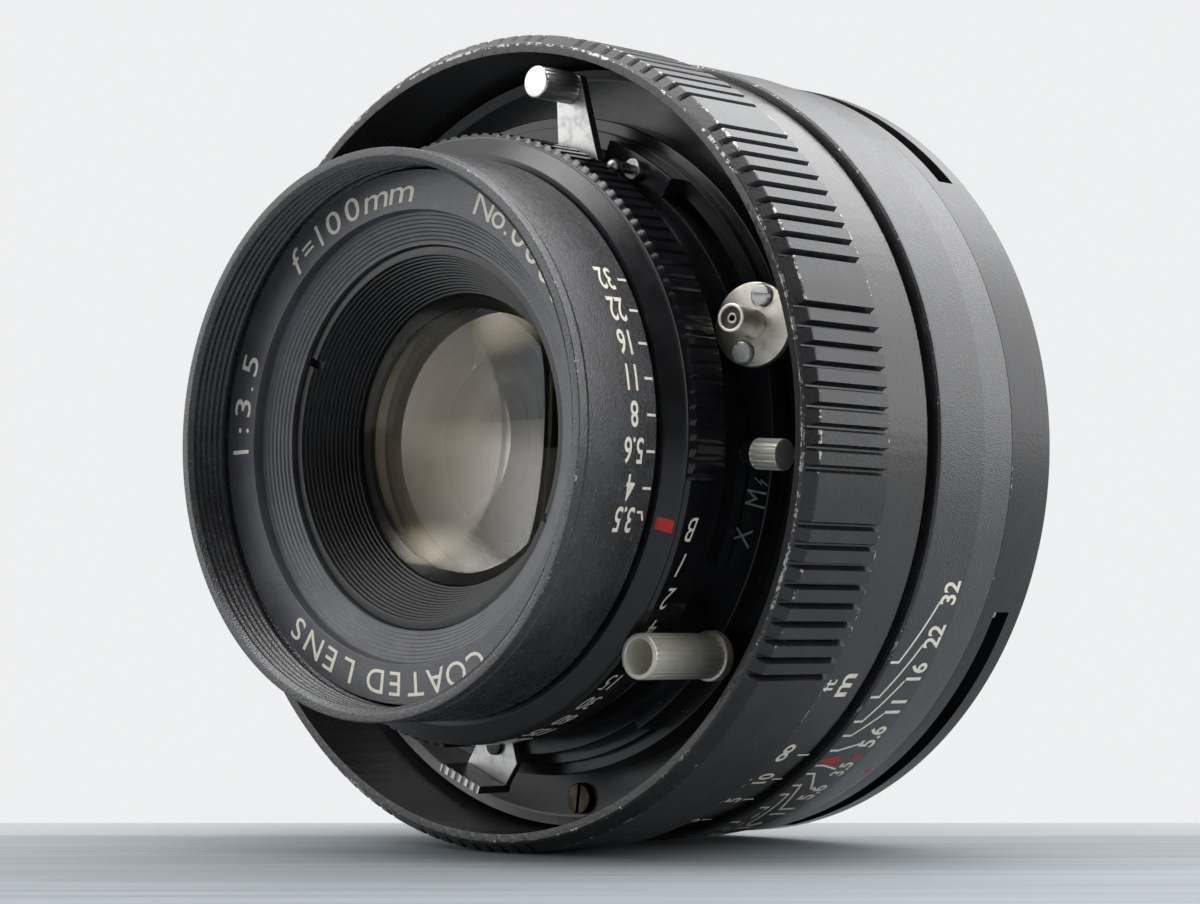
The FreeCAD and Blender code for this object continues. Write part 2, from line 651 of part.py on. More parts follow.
def aperture_drive_pin():
    """Long pin that turns the iris ring with the front barrel."""
    return rod(DRIVE_PIN_RADIUS, DRIVE_PIN_R, DRIVE_PIN_ANGLE, BARREL_END - 1.1, IRIS_RING_REAR)


def iris_ring():
    """Ring inside the case that swings the iris blades."""
    front = IRIS_RING_FRONT - 1
    rear = IRIS_RING_REAR + 1
    body = ring(14.5, 27.3, IRIS_RING_FRONT, IRIS_RING_REAR)
    hole = rod(DRIVE_PIN_RADIUS, DRIVE_PIN_R, DRIVE_PIN_ANGLE, front, rear)
    slots = around(sector(16.5, 22.5, front, rear, 20, 33), IRIS_BLADES)
    return body.cut(hole).cut(Part.Compound(slots))


# ---------------------------------------------------------------- shutter
def pivot_angle(index, count):
    """Angle of a blade's pivot."""
    return index * 360.0 / count + 12.0


def turned_in_plane(shape, centre, angle):
    """Copy turned about a line through a point, parallel to the lens axis."""
    copy = shape.copy()
    copy.rotate(centre, Vector(0, -1, 0), angle)
    return copy


def stud_paths(index, count, swing, front, rear):
    """Neighbouring pivots as a blade meets them while it turns by its swing."""
    own = at(BLADE_PIVOT_R, pivot_angle(index, count), front)
    clear = STUD_R + 0.35
    rise = Vector(0, rear - front, 0)
    shapes = []
    for other in range(count):
        if other == index:
            continue
        stud = rod(clear, BLADE_PIVOT_R, pivot_angle(other, count), front, rear)
        arm = at(BLADE_PIVOT_R, pivot_angle(other, count), front) - own
        reach = arm.Length
        arm.normalize()
        near = own + arm * (reach - clear)
        far = own + arm * (reach + clear)
        face = Part.Face(Part.makePolygon([near, far, far + rise, near + rise, near]))
        shapes.append(face.revolve(own, Vector(0, math.copysign(1, swing), 0), abs(swing)))
        shapes.append(stud)
        shapes.append(turned_in_plane(stud, own, -swing))
    return Part.Compound(shapes)


def shutter_blade(index):
    """Blade that closes its share of the pupil and swings clear of it."""
    level = SHUTTER_FIRST + index * BLADE_PITCH
    low = level - 1
    high = level + 1
    angle = pivot_angle(index, SHUTTER_BLADES)
    pivot = at(BLADE_PIVOT_R, angle, 0)
    blade = sector(0.0001, 16.2, level, level + BLADE_THICKNESS, angle - 103, angle + 22)
    boss = rod(2.1, BLADE_PIVOT_R, angle, level, level + BLADE_THICKNESS)
    neck = plate([(14.5, angle - 12), (14.5, angle + 12), (BLADE_PIVOT_R, angle + 6),
                  (BLADE_PIVOT_R, angle - 6)], level, level + BLADE_THICKNESS)
    clear = ring(0, PUPIL_R + 0.2, low, high)
    shape = blade.fuse(boss).fuse(neck)
    shape = shape.cut(turned_in_plane(clear, pivot, -SHUTTER_SWING))
    shape = shape.cut(rod(STUD_R + SMALL_RUN, BLADE_PIVOT_R, angle, low, high))
    shape = shape.cut(stud_paths(index, SHUTTER_BLADES, SHUTTER_SWING, low, high))
    return largest(shape.removeSplitter())


def iris_blade(index):
    """Crescent blade, open at rest, that swings in to narrow the pupil."""
    level = IRIS_FIRST + index * BLADE_PITCH
    low = level - 1
    high = level + 1
    angle = pivot_angle(index, IRIS_BLADES)
    crescent = sector(PUPIL_R + 0.7, 18.6, level, level + BLADE_THICKNESS, angle - 128, angle + 4)
    boss = rod(1.9, BLADE_PIVOT_R, angle, level, level + BLADE_THICKNESS)
    shape = crescent.fuse(boss)
    shape = shape.cut(rod(STUD_R + SMALL_RUN, BLADE_PIVOT_R, angle, low, high))
    shape = shape.cut(stud_paths(index, IRIS_BLADES, -IRIS_SWING, low, high))
    return largest(shape.removeSplitter())


def largest(shape):
    """Largest solid of a shape."""
    return max(shape.Solids, key=lambda solid: solid.Volume)


def blade_plate():
    """Plate between iris and shutter that carries all the blade pivots."""
    body = ring(PUPIL_R + 0.8, CASE_WALL_R - 0.02, BLADE_PLATE_FRONT, BLADE_PLATE_REAR)
    for i in range(SHUTTER_BLADES):
        stud = rod(STUD_R, BLADE_PIVOT_R, pivot_angle(i, SHUTTER_BLADES),
                   IRIS_RING_REAR + 0.15, BLADE_RING_FRONT - 0.15)
        body = body.fuse(stud)
    return body


def blade_ring():
    """Ring that throws the shutter blades open and shut."""
    body = ring(16.8, 23.4, BLADE_RING_FRONT, BLADE_RING_REAR)
    lever = plate([(22.8, 205), (22.8, 217), (29.5, 214), (29.5, 208)],
                  BLADE_RING_FRONT, BLADE_RING_REAR)
    slots = around(sector(17.8, 22.2, BLADE_RING_FRONT - 1, BLADE_RING_REAR + 1, 36, 44),
                   SHUTTER_BLADES)
    return body.fuse(lever).cut(Part.Compound(slots)).removeSplitter()


# ---------------------------------------------------------------- levers
def cocking_lever():
    """Open ring on the hub with the arm that cocks the shutter."""
    body = sector(HUB_R + RUN, 30.0, COCKING_FRONT, COCKING_REAR, 38, 305)
    arm = plate([(29.4, 62.6), (38.4, 74.2), (38.6, 76.0), (35.6, 78.4), (29.4, 75.6)],
                COCKING_FRONT, COCKING_REAR)
    hole = rod(RIVET_R, KNOB_R, KNOB_ANGLE, COCKING_FRONT - 1, COCKING_REAR + 1)
    return body.fuse(arm).cut(hole).removeSplitter()


def cocking_knob():
    """Fluted knob riveted to the cocking arm."""
    radius = 1.65
    body = rod(radius, KNOB_R, KNOB_ANGLE, KNOB_FRONT, COCKING_FRONT)
    rivet = rod(RIVET_R, KNOB_R, KNOB_ANGLE, COCKING_FRONT, COCKING_REAR + 0.2)
    body = body.fuse(rivet).removeSplitter()
    start = at(KNOB_R, KNOB_ANGLE, KNOB_FRONT + 0.5)
    return fluted(body, radius, start, Vector(0, 1, 0), 6.0, 16, 0.22)


def release_lever():
    """Bent shutter-release lever with a serrated finger tab."""
    tab_length = 4.6
    blade = plate([(30.4, -99.5), (30.3, -91.5), (33.1, -90.0), (35.4, -92.6), (33.9, -102.2)],
                  RELEASE_FRONT, RELEASE_REAR)
    bend_start = at(35.4, -92.6, RELEASE_REAR - tab_length)
    bend_end = at(33.9, -102.2, RELEASE_REAR - tab_length)
    along = bend_end - bend_start
    outward = along.cross(Vector(0, 1, 0))
    outward.normalize()
    corners = [bend_start, bend_end, bend_end + outward * 0.8, bend_start + outward * 0.8]
    tab = Part.Face(Part.makePolygon(corners + [corners[0]])).extrude(Vector(0, tab_length, 0))
    teeth = []
    for i in range(6):
        foot = bend_start + along * ((i + 0.5) / 6.0) - outward
        teeth.append(Part.makeCylinder(0.26, 3.0, foot, outward))
    body = blade.fuse(tab).removeSplitter().cut(Part.Compound(teeth))
    hole = rod(RELEASE_STUD_R + SMALL_RUN, RELEASE_PIVOT_R, RELEASE_PIVOT_ANGLE,
               RELEASE_FRONT - 1, RELEASE_REAR + 1)
    return largest(body.cut(hole))


def sync_lever():
    """Arc slider that chooses the flash contact, with a radial stem."""
    arc = sector(HUB_R + RUN, 30.3, 20.75, 22.2, -26, 4)
    stem = radial_rod(SYNC_STEM_R, SYNC_STEM_START, SYNC_STEM_END, SYNC_KNOB_ANGLE, 21.0)
    return arc.fuse(stem).removeSplitter()


def sync_knob():
    """Fluted knob on the slider's stem, with a flat dark cap."""
    radius = 1.55
    body = radial_rod(radius, SYNC_STEM_END, 36.2, SYNC_KNOB_ANGLE, SYNC_KNOB_DEPTH)
    centre = at(33.1, SYNC_KNOB_ANGLE, SYNC_KNOB_DEPTH)
    direction = at(1, SYNC_KNOB_ANGLE, LENGTH)
    return fluted(body, radius, centre, direction, 2.7, 14, 0.2)


def cable_socket():
    """Fluted cable-release socket with a tapered hole."""
    radius = 2.25
    body = rod(radius, SOCKET_R, SOCKET_ANGLE, SOCKET_FRONT, COVER_FRONT - 0.5)
    base = rod(radius + 0.25, SOCKET_R, SOCKET_ANGLE, COVER_FRONT - 0.9, COVER_FRONT)
    cone = Part.makeCone(1.75, 1.1, 6.5, at(SOCKET_R, SOCKET_ANGLE, SOCKET_FRONT), Vector(0, 1, 0))
    start = at(SOCKET_R, SOCKET_ANGLE, SOCKET_FRONT + 0.7)
    body = fluted(body, radius, start, Vector(0, 1, 0), 9.4, 24, 0.22)
    return body.fuse(base).cut(cone).removeSplitter()


def stop_pin():
    """Round-headed pin that stops the cocking arm."""
    shank = rod(0.55, STOP_PIN_R, STOP_PIN_ANGLE, 19.0, COVER_FRONT)
    ball = Part.makeSphere(0.75, at(STOP_PIN_R, STOP_PIN_ANGLE, 18.9))
    collar = rod(1.1, STOP_PIN_R, STOP_PIN_ANGLE, COVER_FRONT - 0.9, COVER_FRONT)
    return shank.fuse(ball).fuse(collar).removeSplitter()


# ---------------------------------------------------------------- flash terminal
def terminal_place(shape):
    """Move a shape built on the Y axis to the tilted terminal position."""
    copy = shape.copy()
    copy.rotate(Vector(0, 0, 0), Vector(0, 0, 1), TERMINAL_TILT)
    copy.translate(Vector(TERMINAL_R, TERMINAL_DEPTH - LENGTH, 0))
    return about_axis(copy, TERMINAL_ANGLE)


def local_rod(radius, front, rear, x=0.0, z=0.0):
    """Cylinder along Y in the terminal's own place."""
    return Part.makeCylinder(radius, rear - front, Vector(x, front, z), Vector(0, 1, 0))


def terminal_plate():
    """Nickel disc of the flash terminal."""
    body = local_rod(4.2, 0.0, 0.8)
    holes = [local_rod(0.6, -1, 2, x, z) for x, z in TERMINAL_HOLES]
    return terminal_place(body.cut(local_rod(SLEEVE_R, -1, 2)).cut(Part.Compound(holes)))


def terminal_sleeve():
    """Outer contact sleeve that a flash plug slips over."""
    outer = local_rod(SLEEVE_R, -4.4, 1.6)
    return terminal_place(outer.cut(local_rod(1.1, -5, 2)))


def terminal_insulator():
    """Insulating tube inside the sleeve."""
    return terminal_place(local_rod(1.1, -3.9, 1.6).cut(local_rod(0.55, -5, 2)))


def terminal_contact():
    """Hollow centre contact."""
    return terminal_place(local_rod(0.55, -4.1, 1.6).cut(local_rod(0.3, -5, -2.0)))


def terminal_screws():
    """Two slotted screws of the terminal."""
    screws = []
    for x, z in TERMINAL_HOLES:
        head = local_rod(1.05, -0.55, 0.0, x, z)
        shank = local_rod(0.6, 0.0, 1.4, x, z)
        slot = Part.makeBox(2.6, 0.35, 0.26, Vector(x - 1.3, -0.6, z - 0.13))
        screws.append(terminal_place(head.fuse(shank).cut(slot).removeSplitter()))
    return Part.Compound(screws)


def terminal_bracket():
    """Black block under the terminal disc, on the case's side."""
    block = Part.makeBox(6.0, 5.0, 6.4, Vector(-2.8, 0.8, -3.2))
    block = terminal_place(block)
    core = ring(29.9, 35.4, COVER_FRONT - 2.2, CASE_RIM_FRONT - 0.1)
    keep_out = ring(0, 31.7, COVER_FRONT, CASE_FRONT + 2)
    hollow = terminal_place(local_rod(SLEEVE_R + 0.02, 0, 1.6))
    shanks = [terminal_place(local_rod(0.62, 0, 1.4, x, z)) for x, z in TERMINAL_HOLES]
    body = block.common(core).cut(keep_out).cut(hollow).cut(Part.Compound(shanks))
    wall = ring(0, CASE_R - 0.18, CASE_FRONT, CASE_REAR)
    return largest(body.cut(wall))


# ---------------------------------------------------------------- export
PARTS = {
    "fixed_barrel": fixed_barrel, "mount_flange": mount_flange, "mount_screws": mount_screws,
    "locating_pin": locating_pin, "guide_keys": guide_keys, "key_screws": key_screws,
    "focus_ring": focus_ring, "focus_helicoid": focus_helicoid,
    "helicoid_lock_ring": helicoid_lock_ring, "helicoid_retainer": helicoid_retainer,
    "rangefinder_cam": rangefinder_cam, "carriage_helicoid": carriage_helicoid,
    "front_plate": front_plate, "plate_screws": plate_screws, "shutter_case": shutter_case,
    "case_nut": case_nut, "shutter_cover": shutter_cover, "index_ring": index_ring,
    "speed_ring": speed_ring, "speed_ring_clip": speed_ring_clip, "name_ring": name_ring,
    "front_baffle_ring": front_baffle_ring, "front_cell": front_cell,
    "front_element": front_element, "cell_spacer": cell_spacer,
    "second_element": second_element,
    "second_retainer": second_retainer, "rear_cell": rear_cell,
    "rear_doublet_front": rear_doublet_front, "rear_doublet_rear": rear_doublet_rear,
    "rear_retaining_ring": rear_retaining_ring, "rear_hood": rear_hood,
    "aperture_ring": aperture_ring, "aperture_drive_pin": aperture_drive_pin,
    "iris_ring": iris_ring, "blade_plate": blade_plate, "blade_ring": blade_ring,
    "cocking_lever": cocking_lever, "cocking_knob": cocking_knob,
    "release_lever": release_lever, "sync_lever": sync_lever,
    "sync_knob": sync_knob, "cable_socket": cable_socket, "stop_pin": stop_pin,
    "terminal_plate": terminal_plate, "terminal_sleeve": terminal_sleeve,
    "terminal_insulator": terminal_insulator, "terminal_contact": terminal_contact,
    "terminal_screws": terminal_screws, "terminal_bracket": terminal_bracket,
}


def export(name, shape):
    """Write one part and report its state."""
    shape.exportStep(os.path.join("parts", name + ".step"))
    state = f"valid={shape.isValid()} solids={len(shape.Solids)} volume={shape.Volume:9.2f}"
    print(f"{name:22s} {state}")


def main():
    """Build and export every part."""
    os.makedirs("parts", exist_ok=True)
    for name, build in PARTS.items():
        export(name, build())
    for i in range(SHUTTER_BLADES):
        export(f"shutter_blade_{i + 1}", shutter_blade(i))
    for i in range(IRIS_BLADES):
        export(f"iris_blade_{i + 1}", iris_blade(i))


main()
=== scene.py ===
"""Leaf-shutter lens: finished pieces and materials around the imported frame.

Shapes are built in millimetres, in the frame's own place, and become metres when a piece is
finished.  The lens axis is the Y axis, depths are measured behind the front rim, and angles
about the axis grow from +X towards +Z.
"""
import logging
import math
from dataclasses import dataclass
from enum import Enum
from typing import Callable, Dict, Iterable, List, Optional, Sequence, Tuple, Union

import bmesh
import bpy
from mathutils import Matrix, Vector


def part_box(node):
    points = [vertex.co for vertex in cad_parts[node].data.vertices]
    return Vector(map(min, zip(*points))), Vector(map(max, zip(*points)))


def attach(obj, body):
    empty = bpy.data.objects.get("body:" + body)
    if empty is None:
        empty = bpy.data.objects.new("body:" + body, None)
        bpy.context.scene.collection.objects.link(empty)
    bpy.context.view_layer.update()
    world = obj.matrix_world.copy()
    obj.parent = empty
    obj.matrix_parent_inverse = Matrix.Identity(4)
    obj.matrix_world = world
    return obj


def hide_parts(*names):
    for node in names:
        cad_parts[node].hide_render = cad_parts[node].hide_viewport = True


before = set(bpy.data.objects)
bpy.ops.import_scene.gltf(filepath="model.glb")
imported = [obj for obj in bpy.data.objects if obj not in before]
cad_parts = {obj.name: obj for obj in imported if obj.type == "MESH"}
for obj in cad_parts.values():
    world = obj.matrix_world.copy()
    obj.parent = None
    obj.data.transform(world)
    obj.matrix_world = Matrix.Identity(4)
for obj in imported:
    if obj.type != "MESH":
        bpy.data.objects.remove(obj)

LOG = logging.getLogger("lens")
MM = 0.001
FULL = 360.0
LENGTH = -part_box("aperture_ring")[0][1] / MM
STRIP = 0.45

Profile = Sequence[Tuple[float, ...]]
Adjust = Callable[[float, float, float], Tuple[float, float]]
Radius = Union[float, Callable[[float], float]]


# ---------------------------------------------------------------- places
@dataclass(frozen=True)
class Extent:
    """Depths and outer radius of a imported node, in millimetres."""

    front: float
    rear: float
    radius: float

    @classmethod
    def of(cls, node: str) -> "Extent":
        """Read a node's extent from the frame.

        Args:
            node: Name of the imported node.

        Returns:
            The node's extent about the lens axis.
        """
        low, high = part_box(node)
        return cls(low[1] / MM + LENGTH, high[1] / MM + LENGTH, high[0] / MM)


def spot(radius: float, angle: float, depth: float) -> Vector:
    """Point at a radius and angle about the axis and a depth behind the rim."""
    a = math.radians(angle)
    return Vector((radius * math.cos(a), depth - LENGTH, radius * math.sin(a)))


def on_axis() -> Matrix:
    """Place of a shape whose Y values are depths behind the front rim."""
    return Matrix.Translation((0, -LENGTH, 0))


def beside(radius: float, angle: float, depth: float) -> Matrix:
    """Place whose Y axis is parallel to the lens axis and whose X axis points outwards."""
    turn = Matrix.Rotation(-math.radians(angle), 4, "Y")
    return turn @ Matrix.Translation((radius, depth - LENGTH, 0))


def outward(radius: float, angle: float, depth: float) -> Matrix:
    """Place whose Y axis points away from the lens axis."""
    return beside(radius, angle, depth) @ Matrix.Rotation(-math.pi / 2, 4, "Z")


# ---------------------------------------------------------------- shapes
def eased(profile: Profile, closed: bool = True) -> List[Tuple[float, float]]:
    """Round the corners whose third value gives a setback.

    Args:
        profile: Points (radius, depth) or (radius, depth, setback).
        closed: Whether the last point joins the first.

    Returns:
        Points with each marked corner replaced by a short curve.
    """
    out: List[Tuple[float, float]] = []
    count = len(profile)
    for i, entry in enumerate(profile):
        point = Vector((entry[0], entry[1]))
        at_end = not closed and i in (0, count - 1)
        if len(entry) < 3 or at_end:
            out.append((point.x, point.y))
            continue
        before = (Vector(profile[i - 1][:2]) - point).normalized() * entry[2] + point
        after = (Vector(profile[(i + 1) % count][:2]) - point).normalized() * entry[2] + point
        for share in (0.0, 0.3, 0.7, 1.0):
            bend = before.lerp(point, share).lerp(point.lerp(after, share), share)
            out.append((bend.x, bend.y))
    return out


def columns(breaks: Iterable[float], widest: float = 2.5) -> List[float]:
    """Angles of a full turn that include given ones and leave no wide gap.

    Args:
        breaks: Angles that must be in the result.
        widest: Largest step allowed, in degrees.

    Returns:
        Sorted angles; the last is a full turn after the first.
    """
    fixed = sorted({round(b % FULL, 4) for b in breaks})
    fixed.append(fixed[0] + FULL)
    out: List[float] = []
    for low, high in zip(fixed, fixed[1:]):
        steps = max(1, math.ceil((high - low) / widest))
        out += [low + (high - low) * i / steps for i in range(steps)]
    return out + [fixed[-1]]


def revolve(profile: Profile, steps: int = 240, closed: bool = True,
            angles: Optional[Sequence[float]] = None,
            adjust: Optional[Adjust] = None) -> bmesh.types.BMesh:
    """Spin a profile about the Y axis.

    Args:
        profile: Points (radius, y) with an optional setback for a rounded corner.
        steps: Equal steps of the spin, where no angles are given.
        closed: Whether the profile is a closed loop; an open one ends on the axis.
        angles: Angles of the mesh's columns, from one to a full turn later.
        adjust: Moves each point; it takes radius, y and angle, and returns radius and y.

    Returns:
        The closed shape.
    """
    mesh = bmesh.new()
    verts = [mesh.verts.new((r, y, 0)) for r, y in eased(profile, closed)]
    pairs = list(zip(verts, verts[1:]))
    if closed:
        pairs.append((verts[-1], verts[0]))
    loop = verts + [mesh.edges.new(pair) for pair in pairs]
    if angles is None:
        bmesh.ops.spin(mesh, geom=loop, cent=(0, 0, 0), axis=(0, -1, 0), angle=math.tau,
                       steps=steps, use_merge=True)
    else:
        start = Matrix.Rotation(-math.radians(angles[0]), 4, "Y")
        bmesh.ops.transform(mesh, matrix=start, verts=verts)
        for low, high in zip(angles, angles[1:]):
            turned = bmesh.ops.spin(mesh, geom=loop, cent=(0, 0, 0), axis=(0, -1, 0),
                                    angle=math.radians(high - low), steps=1)
            loop = turned["geom_last"]
    bmesh.ops.remove_doubles(mesh, verts=mesh.verts, dist=1e-4)
    if adjust is not None:
        for vert in mesh.verts:
            x, y, z = vert.co
            angle = math.degrees(math.atan2(z, x))
            old = math.hypot(x, z)
            radius, y = adjust(old, y, angle)
            scale = radius / old if old else 1.0
            vert.co = (x * scale, y, z * scale)
        bmesh.ops.remove_doubles(mesh, verts=mesh.verts, dist=1e-4)
    bmesh.ops.dissolve_degenerate(mesh, edges=mesh.edges, dist=1e-5)
    bmesh.ops.recalc_face_normals(mesh, faces=mesh.faces)
    return mesh


def bar(radius: float, length: float, ease: float = 0.1, steps: int = 48) -> bmesh.types.BMesh:
    """Round bar along Y from the origin, with eased ends."""
    outline = [(0, 0), (radius, 0, ease), (radius, length, ease), (0, length)]
    return revolve(outline, steps, closed=False)


def fluted_bar(radius: float, length: float, flutes: int, depth: float,
               ease: float = 0.15) -> bmesh.types.BMesh:
    """Round bar along Y with straight flutes between its plain ends.

    Args:
        radius: Radius over the flutes' crests.
        length: Length of the bar.
        flutes: Number of flutes.
        depth: Depth of a flute.
        ease: Setback of the end corners.

    Returns:
        The fluted shape.
    """
    pitch = FULL / flutes
    marks = [i * pitch + step * pitch for i in range(flutes) for step in (-0.3, -0.12, 0.12, 0.3)]

    def adjust(r: float, y: float, angle: float) -> Tuple[float, float]:
        """Sink the flute floors, except near the ends."""
        off = abs((angle + pitch / 2) % pitch - pitch / 2) / pitch
        inside = 0.8 * ease < y < length - 0.8 * ease
        sunk = off < 0.2 and inside and r > radius - 1e-3
        return (r - depth if sunk else r, y)

    outline = [(0, 0), (radius, 0, ease), (radius, 1.05 * ease), (radius, length - 1.05 * ease),
               (radius, length, ease), (0, length)]
    return revolve(outline, closed=False, angles=columns(marks, pitch), adjust=adjust)


def slab(outline: Sequence[Vector], front: float, rear: float,
         ease: float = 0.08) -> bmesh.types.BMesh:
    """Flat plate across the lens axis from its corner points.

    Args:
        outline: Corners in order, of which X and Z are used.
        front: Depth of the front face.
        rear: Depth of the rear face.
        ease: Width of the bevel on its edges.

    Returns:
        The bevelled plate.
    """
    mesh = bmesh.new()
    verts = [mesh.verts.new((p.x, front - LENGTH, p.z)) for p in outline]
    face = mesh.faces.new(verts)
    grown = bmesh.ops.extrude_face_region(mesh, geom=[face])
    moved = [g for g in grown["geom"] if isinstance(g, bmesh.types.BMVert)]
    bmesh.ops.translate(mesh, vec=(0, rear - front, 0), verts=moved)
    bmesh.ops.recalc_face_normals(mesh, faces=mesh.faces)
    if ease:
        bmesh.ops.bevel(mesh, geom=mesh.edges[:], offset=ease, segments=2, profile=0.5,
                        affect="EDGES", material=-1)
    return mesh


def block(size: Tuple[float, float, float], ease: float = 0.0) -> bmesh.types.BMesh:
    """Box of a given size about the origin, with bevelled edges."""
    mesh = bmesh.new()
    bmesh.ops.create_cube(mesh, size=1.0)
    bmesh.ops.scale(mesh, vec=size, verts=mesh.verts)
    if ease:
        bmesh.ops.bevel(mesh, geom=mesh.edges[:], offset=ease, segments=2, profile=0.5,
                        affect="EDGES", material=-1)
    return mesh


def placed(mesh: bmesh.types.BMesh, place: Matrix) -> bmesh.types.BMesh:
    """Move a shape to its place and return it."""
    bmesh.ops.transform(mesh, matrix=place, verts=mesh.verts)
    return mesh


def joined(meshes: Sequence[bmesh.types.BMesh]) -> bmesh.types.BMesh:
    """One shape that holds several, which are freed."""
    whole = bmesh.new()
    for mesh in meshes:
        part = bpy.data.meshes.new("part")
        mesh.to_mesh(part)
        mesh.free()
        whole.from_mesh(part)
        bpy.data.meshes.remove(part)
    return whole


def combined(body: bmesh.types.BMesh, tool: bmesh.types.BMesh,
             operation: str) -> bmesh.types.BMesh:
    """Cut one closed shape out of another, or melt them together.

    Args:
        body: First shape, which is freed.
        tool: Second shape, which is freed.
        operation: DIFFERENCE or UNION.

    Returns:
        The new shape.
    """
    objects = []
    for mesh in (body, tool):
        data = bpy.data.meshes.new("blank")
        mesh.to_mesh(data)
        mesh.free()
        thing = bpy.data.objects.new("blank", data)
        bpy.context.scene.collection.objects.link(thing)
        objects.append(thing)
    cut = objects[0].modifiers.new("cut", "BOOLEAN")
    cut.object = objects[1]
    cut.operation = operation
    cut.solver = "EXACT"
    graph = bpy.context.evaluated_depsgraph_get()
    left = bpy.data.meshes.new_from_object(objects[0].evaluated_get(graph))
    result = bmesh.new()
    result.from_mesh(left)
    bpy.data.meshes.remove(left)
    for thing in objects:
        data = thing.data
        bpy.data.objects.remove(thing)
        bpy.data.meshes.remove(data)
    return result


def wedge(inner: float, outer: float, front: float, rear: float, start: float,
          end: float, ease: float = 0.0) -> bmesh.types.BMesh:
    """Part of a ring about the lens axis.

    Args:
        inner: Inner radius.
        outer: Outer radius.
        front: Depth of the front face.
        rear: Depth of the rear face.
        start: First angle.
        end: Last angle, which is larger.
        ease: Width of the bevel on its long edges and ends.

    Returns:
        The closed shape.
    """
    mesh = bmesh.new()
    corners = [(inner, front), (outer, front), (outer, rear), (inner, rear)]
    verts = [mesh.verts.new(spot(r, start, d)) for r, d in corners]
    face = mesh.faces.new(verts)
    bmesh.ops.spin(mesh, geom=[face], cent=(0, 0, 0), axis=(0, -1, 0),
                   angle=math.radians(end - start), steps=max(4, round((end - start) / 2)))
    bmesh.ops.recalc_face_normals(mesh, faces=mesh.faces)
    if ease:
        hard = [e for e in mesh.edges if len(e.link_faces) == 2 and e.calc_face_angle(0) > 1.0]
        bmesh.ops.bevel(mesh, geom=hard, offset=ease, segments=2, profile=0.5,
                        affect="EDGES", material=-1)
    return mesh


def slotted_head(radius: float, height: float, width: float, depth: float) -> bmesh.types.BMesh:
    """Screw head on Y = 0 that rises towards -Y, with a straight slot across it."""
    head = revolve([(0, -height), (radius, -height, 0.18), (radius, 0.1, 0.03), (0, 0.1)], 48,
                   closed=False)
    slot = placed(block((3 * radius, 2 * depth, width)), Matrix.Translation((0, -height, 0)))
    return combined(head, slot, "DIFFERENCE")


# ---------------------------------------------------------------- shader expressions
class Signal:
    """A shader socket that can be used in a Python expression."""

    def __init__(self, graph: "Graph", socket: bpy.types.NodeSocket) -> None:
        """Wrap a socket of a graph."""
        self.graph = graph
        self.socket = socket

    def math(self, operation: str, *others: "Value", clamp: bool = False) -> "Signal":
        """Math node of this value and others.

        Args:
            operation: Operation of the Math node.
            others: Values or signals for its other sockets.
            clamp: Whether the result is kept between 0 and 1.

        Returns:
            The node's result.
        """
        inputs = dict(enumerate((self,) + others))
        settings = {"operation": operation, "use_clamp": clamp}
        return self.graph.signal("ShaderNodeMath", settings, inputs)

    def __add__(self, other: "Value") -> "Signal":
        """Sum."""
        return self.math("ADD", other)

    __radd__ = __add__

    def __sub__(self, other: "Value") -> "Signal":
        """Difference."""
        return self.math("SUBTRACT", other)

    def __rsub__(self, other: "Value") -> "Signal":
        """Reflected difference."""
        return (self * -1.0) + other

    def __mul__(self, other: "Value") -> "Signal":
        """Product."""
        return self.math("MULTIPLY", other)

    __rmul__ = __mul__

    def __truediv__(self, other: "Value") -> "Signal":
        """Quotient."""
        return self.math("DIVIDE", other)

    def __pow__(self, other: "Value") -> "Signal":
        """Power."""
        return self.math("POWER", other)

    def __abs__(self) -> "Signal":
        """Size without sign."""
        return self.math("ABSOLUTE")

    def sqrt(self) -> "Signal":
        """Square root."""
        return self.math("SQRT")

    def most(self, other: "Value") -> "Signal":
        """Larger of two values."""
        return self.math("MAXIMUM", other)

    def rise(self, low: float, high: float) -> "Signal":
        """Smooth step from 0 at low to 1 at high; low may be the larger."""
        return self.graph.signal("ShaderNodeMapRange", {"interpolation_type": "SMOOTHSTEP"},
                                 {"Value": self, "From Min": low, "From Max": high})


Value = Union[float, Signal]
Colour = Tuple[float, float, float]


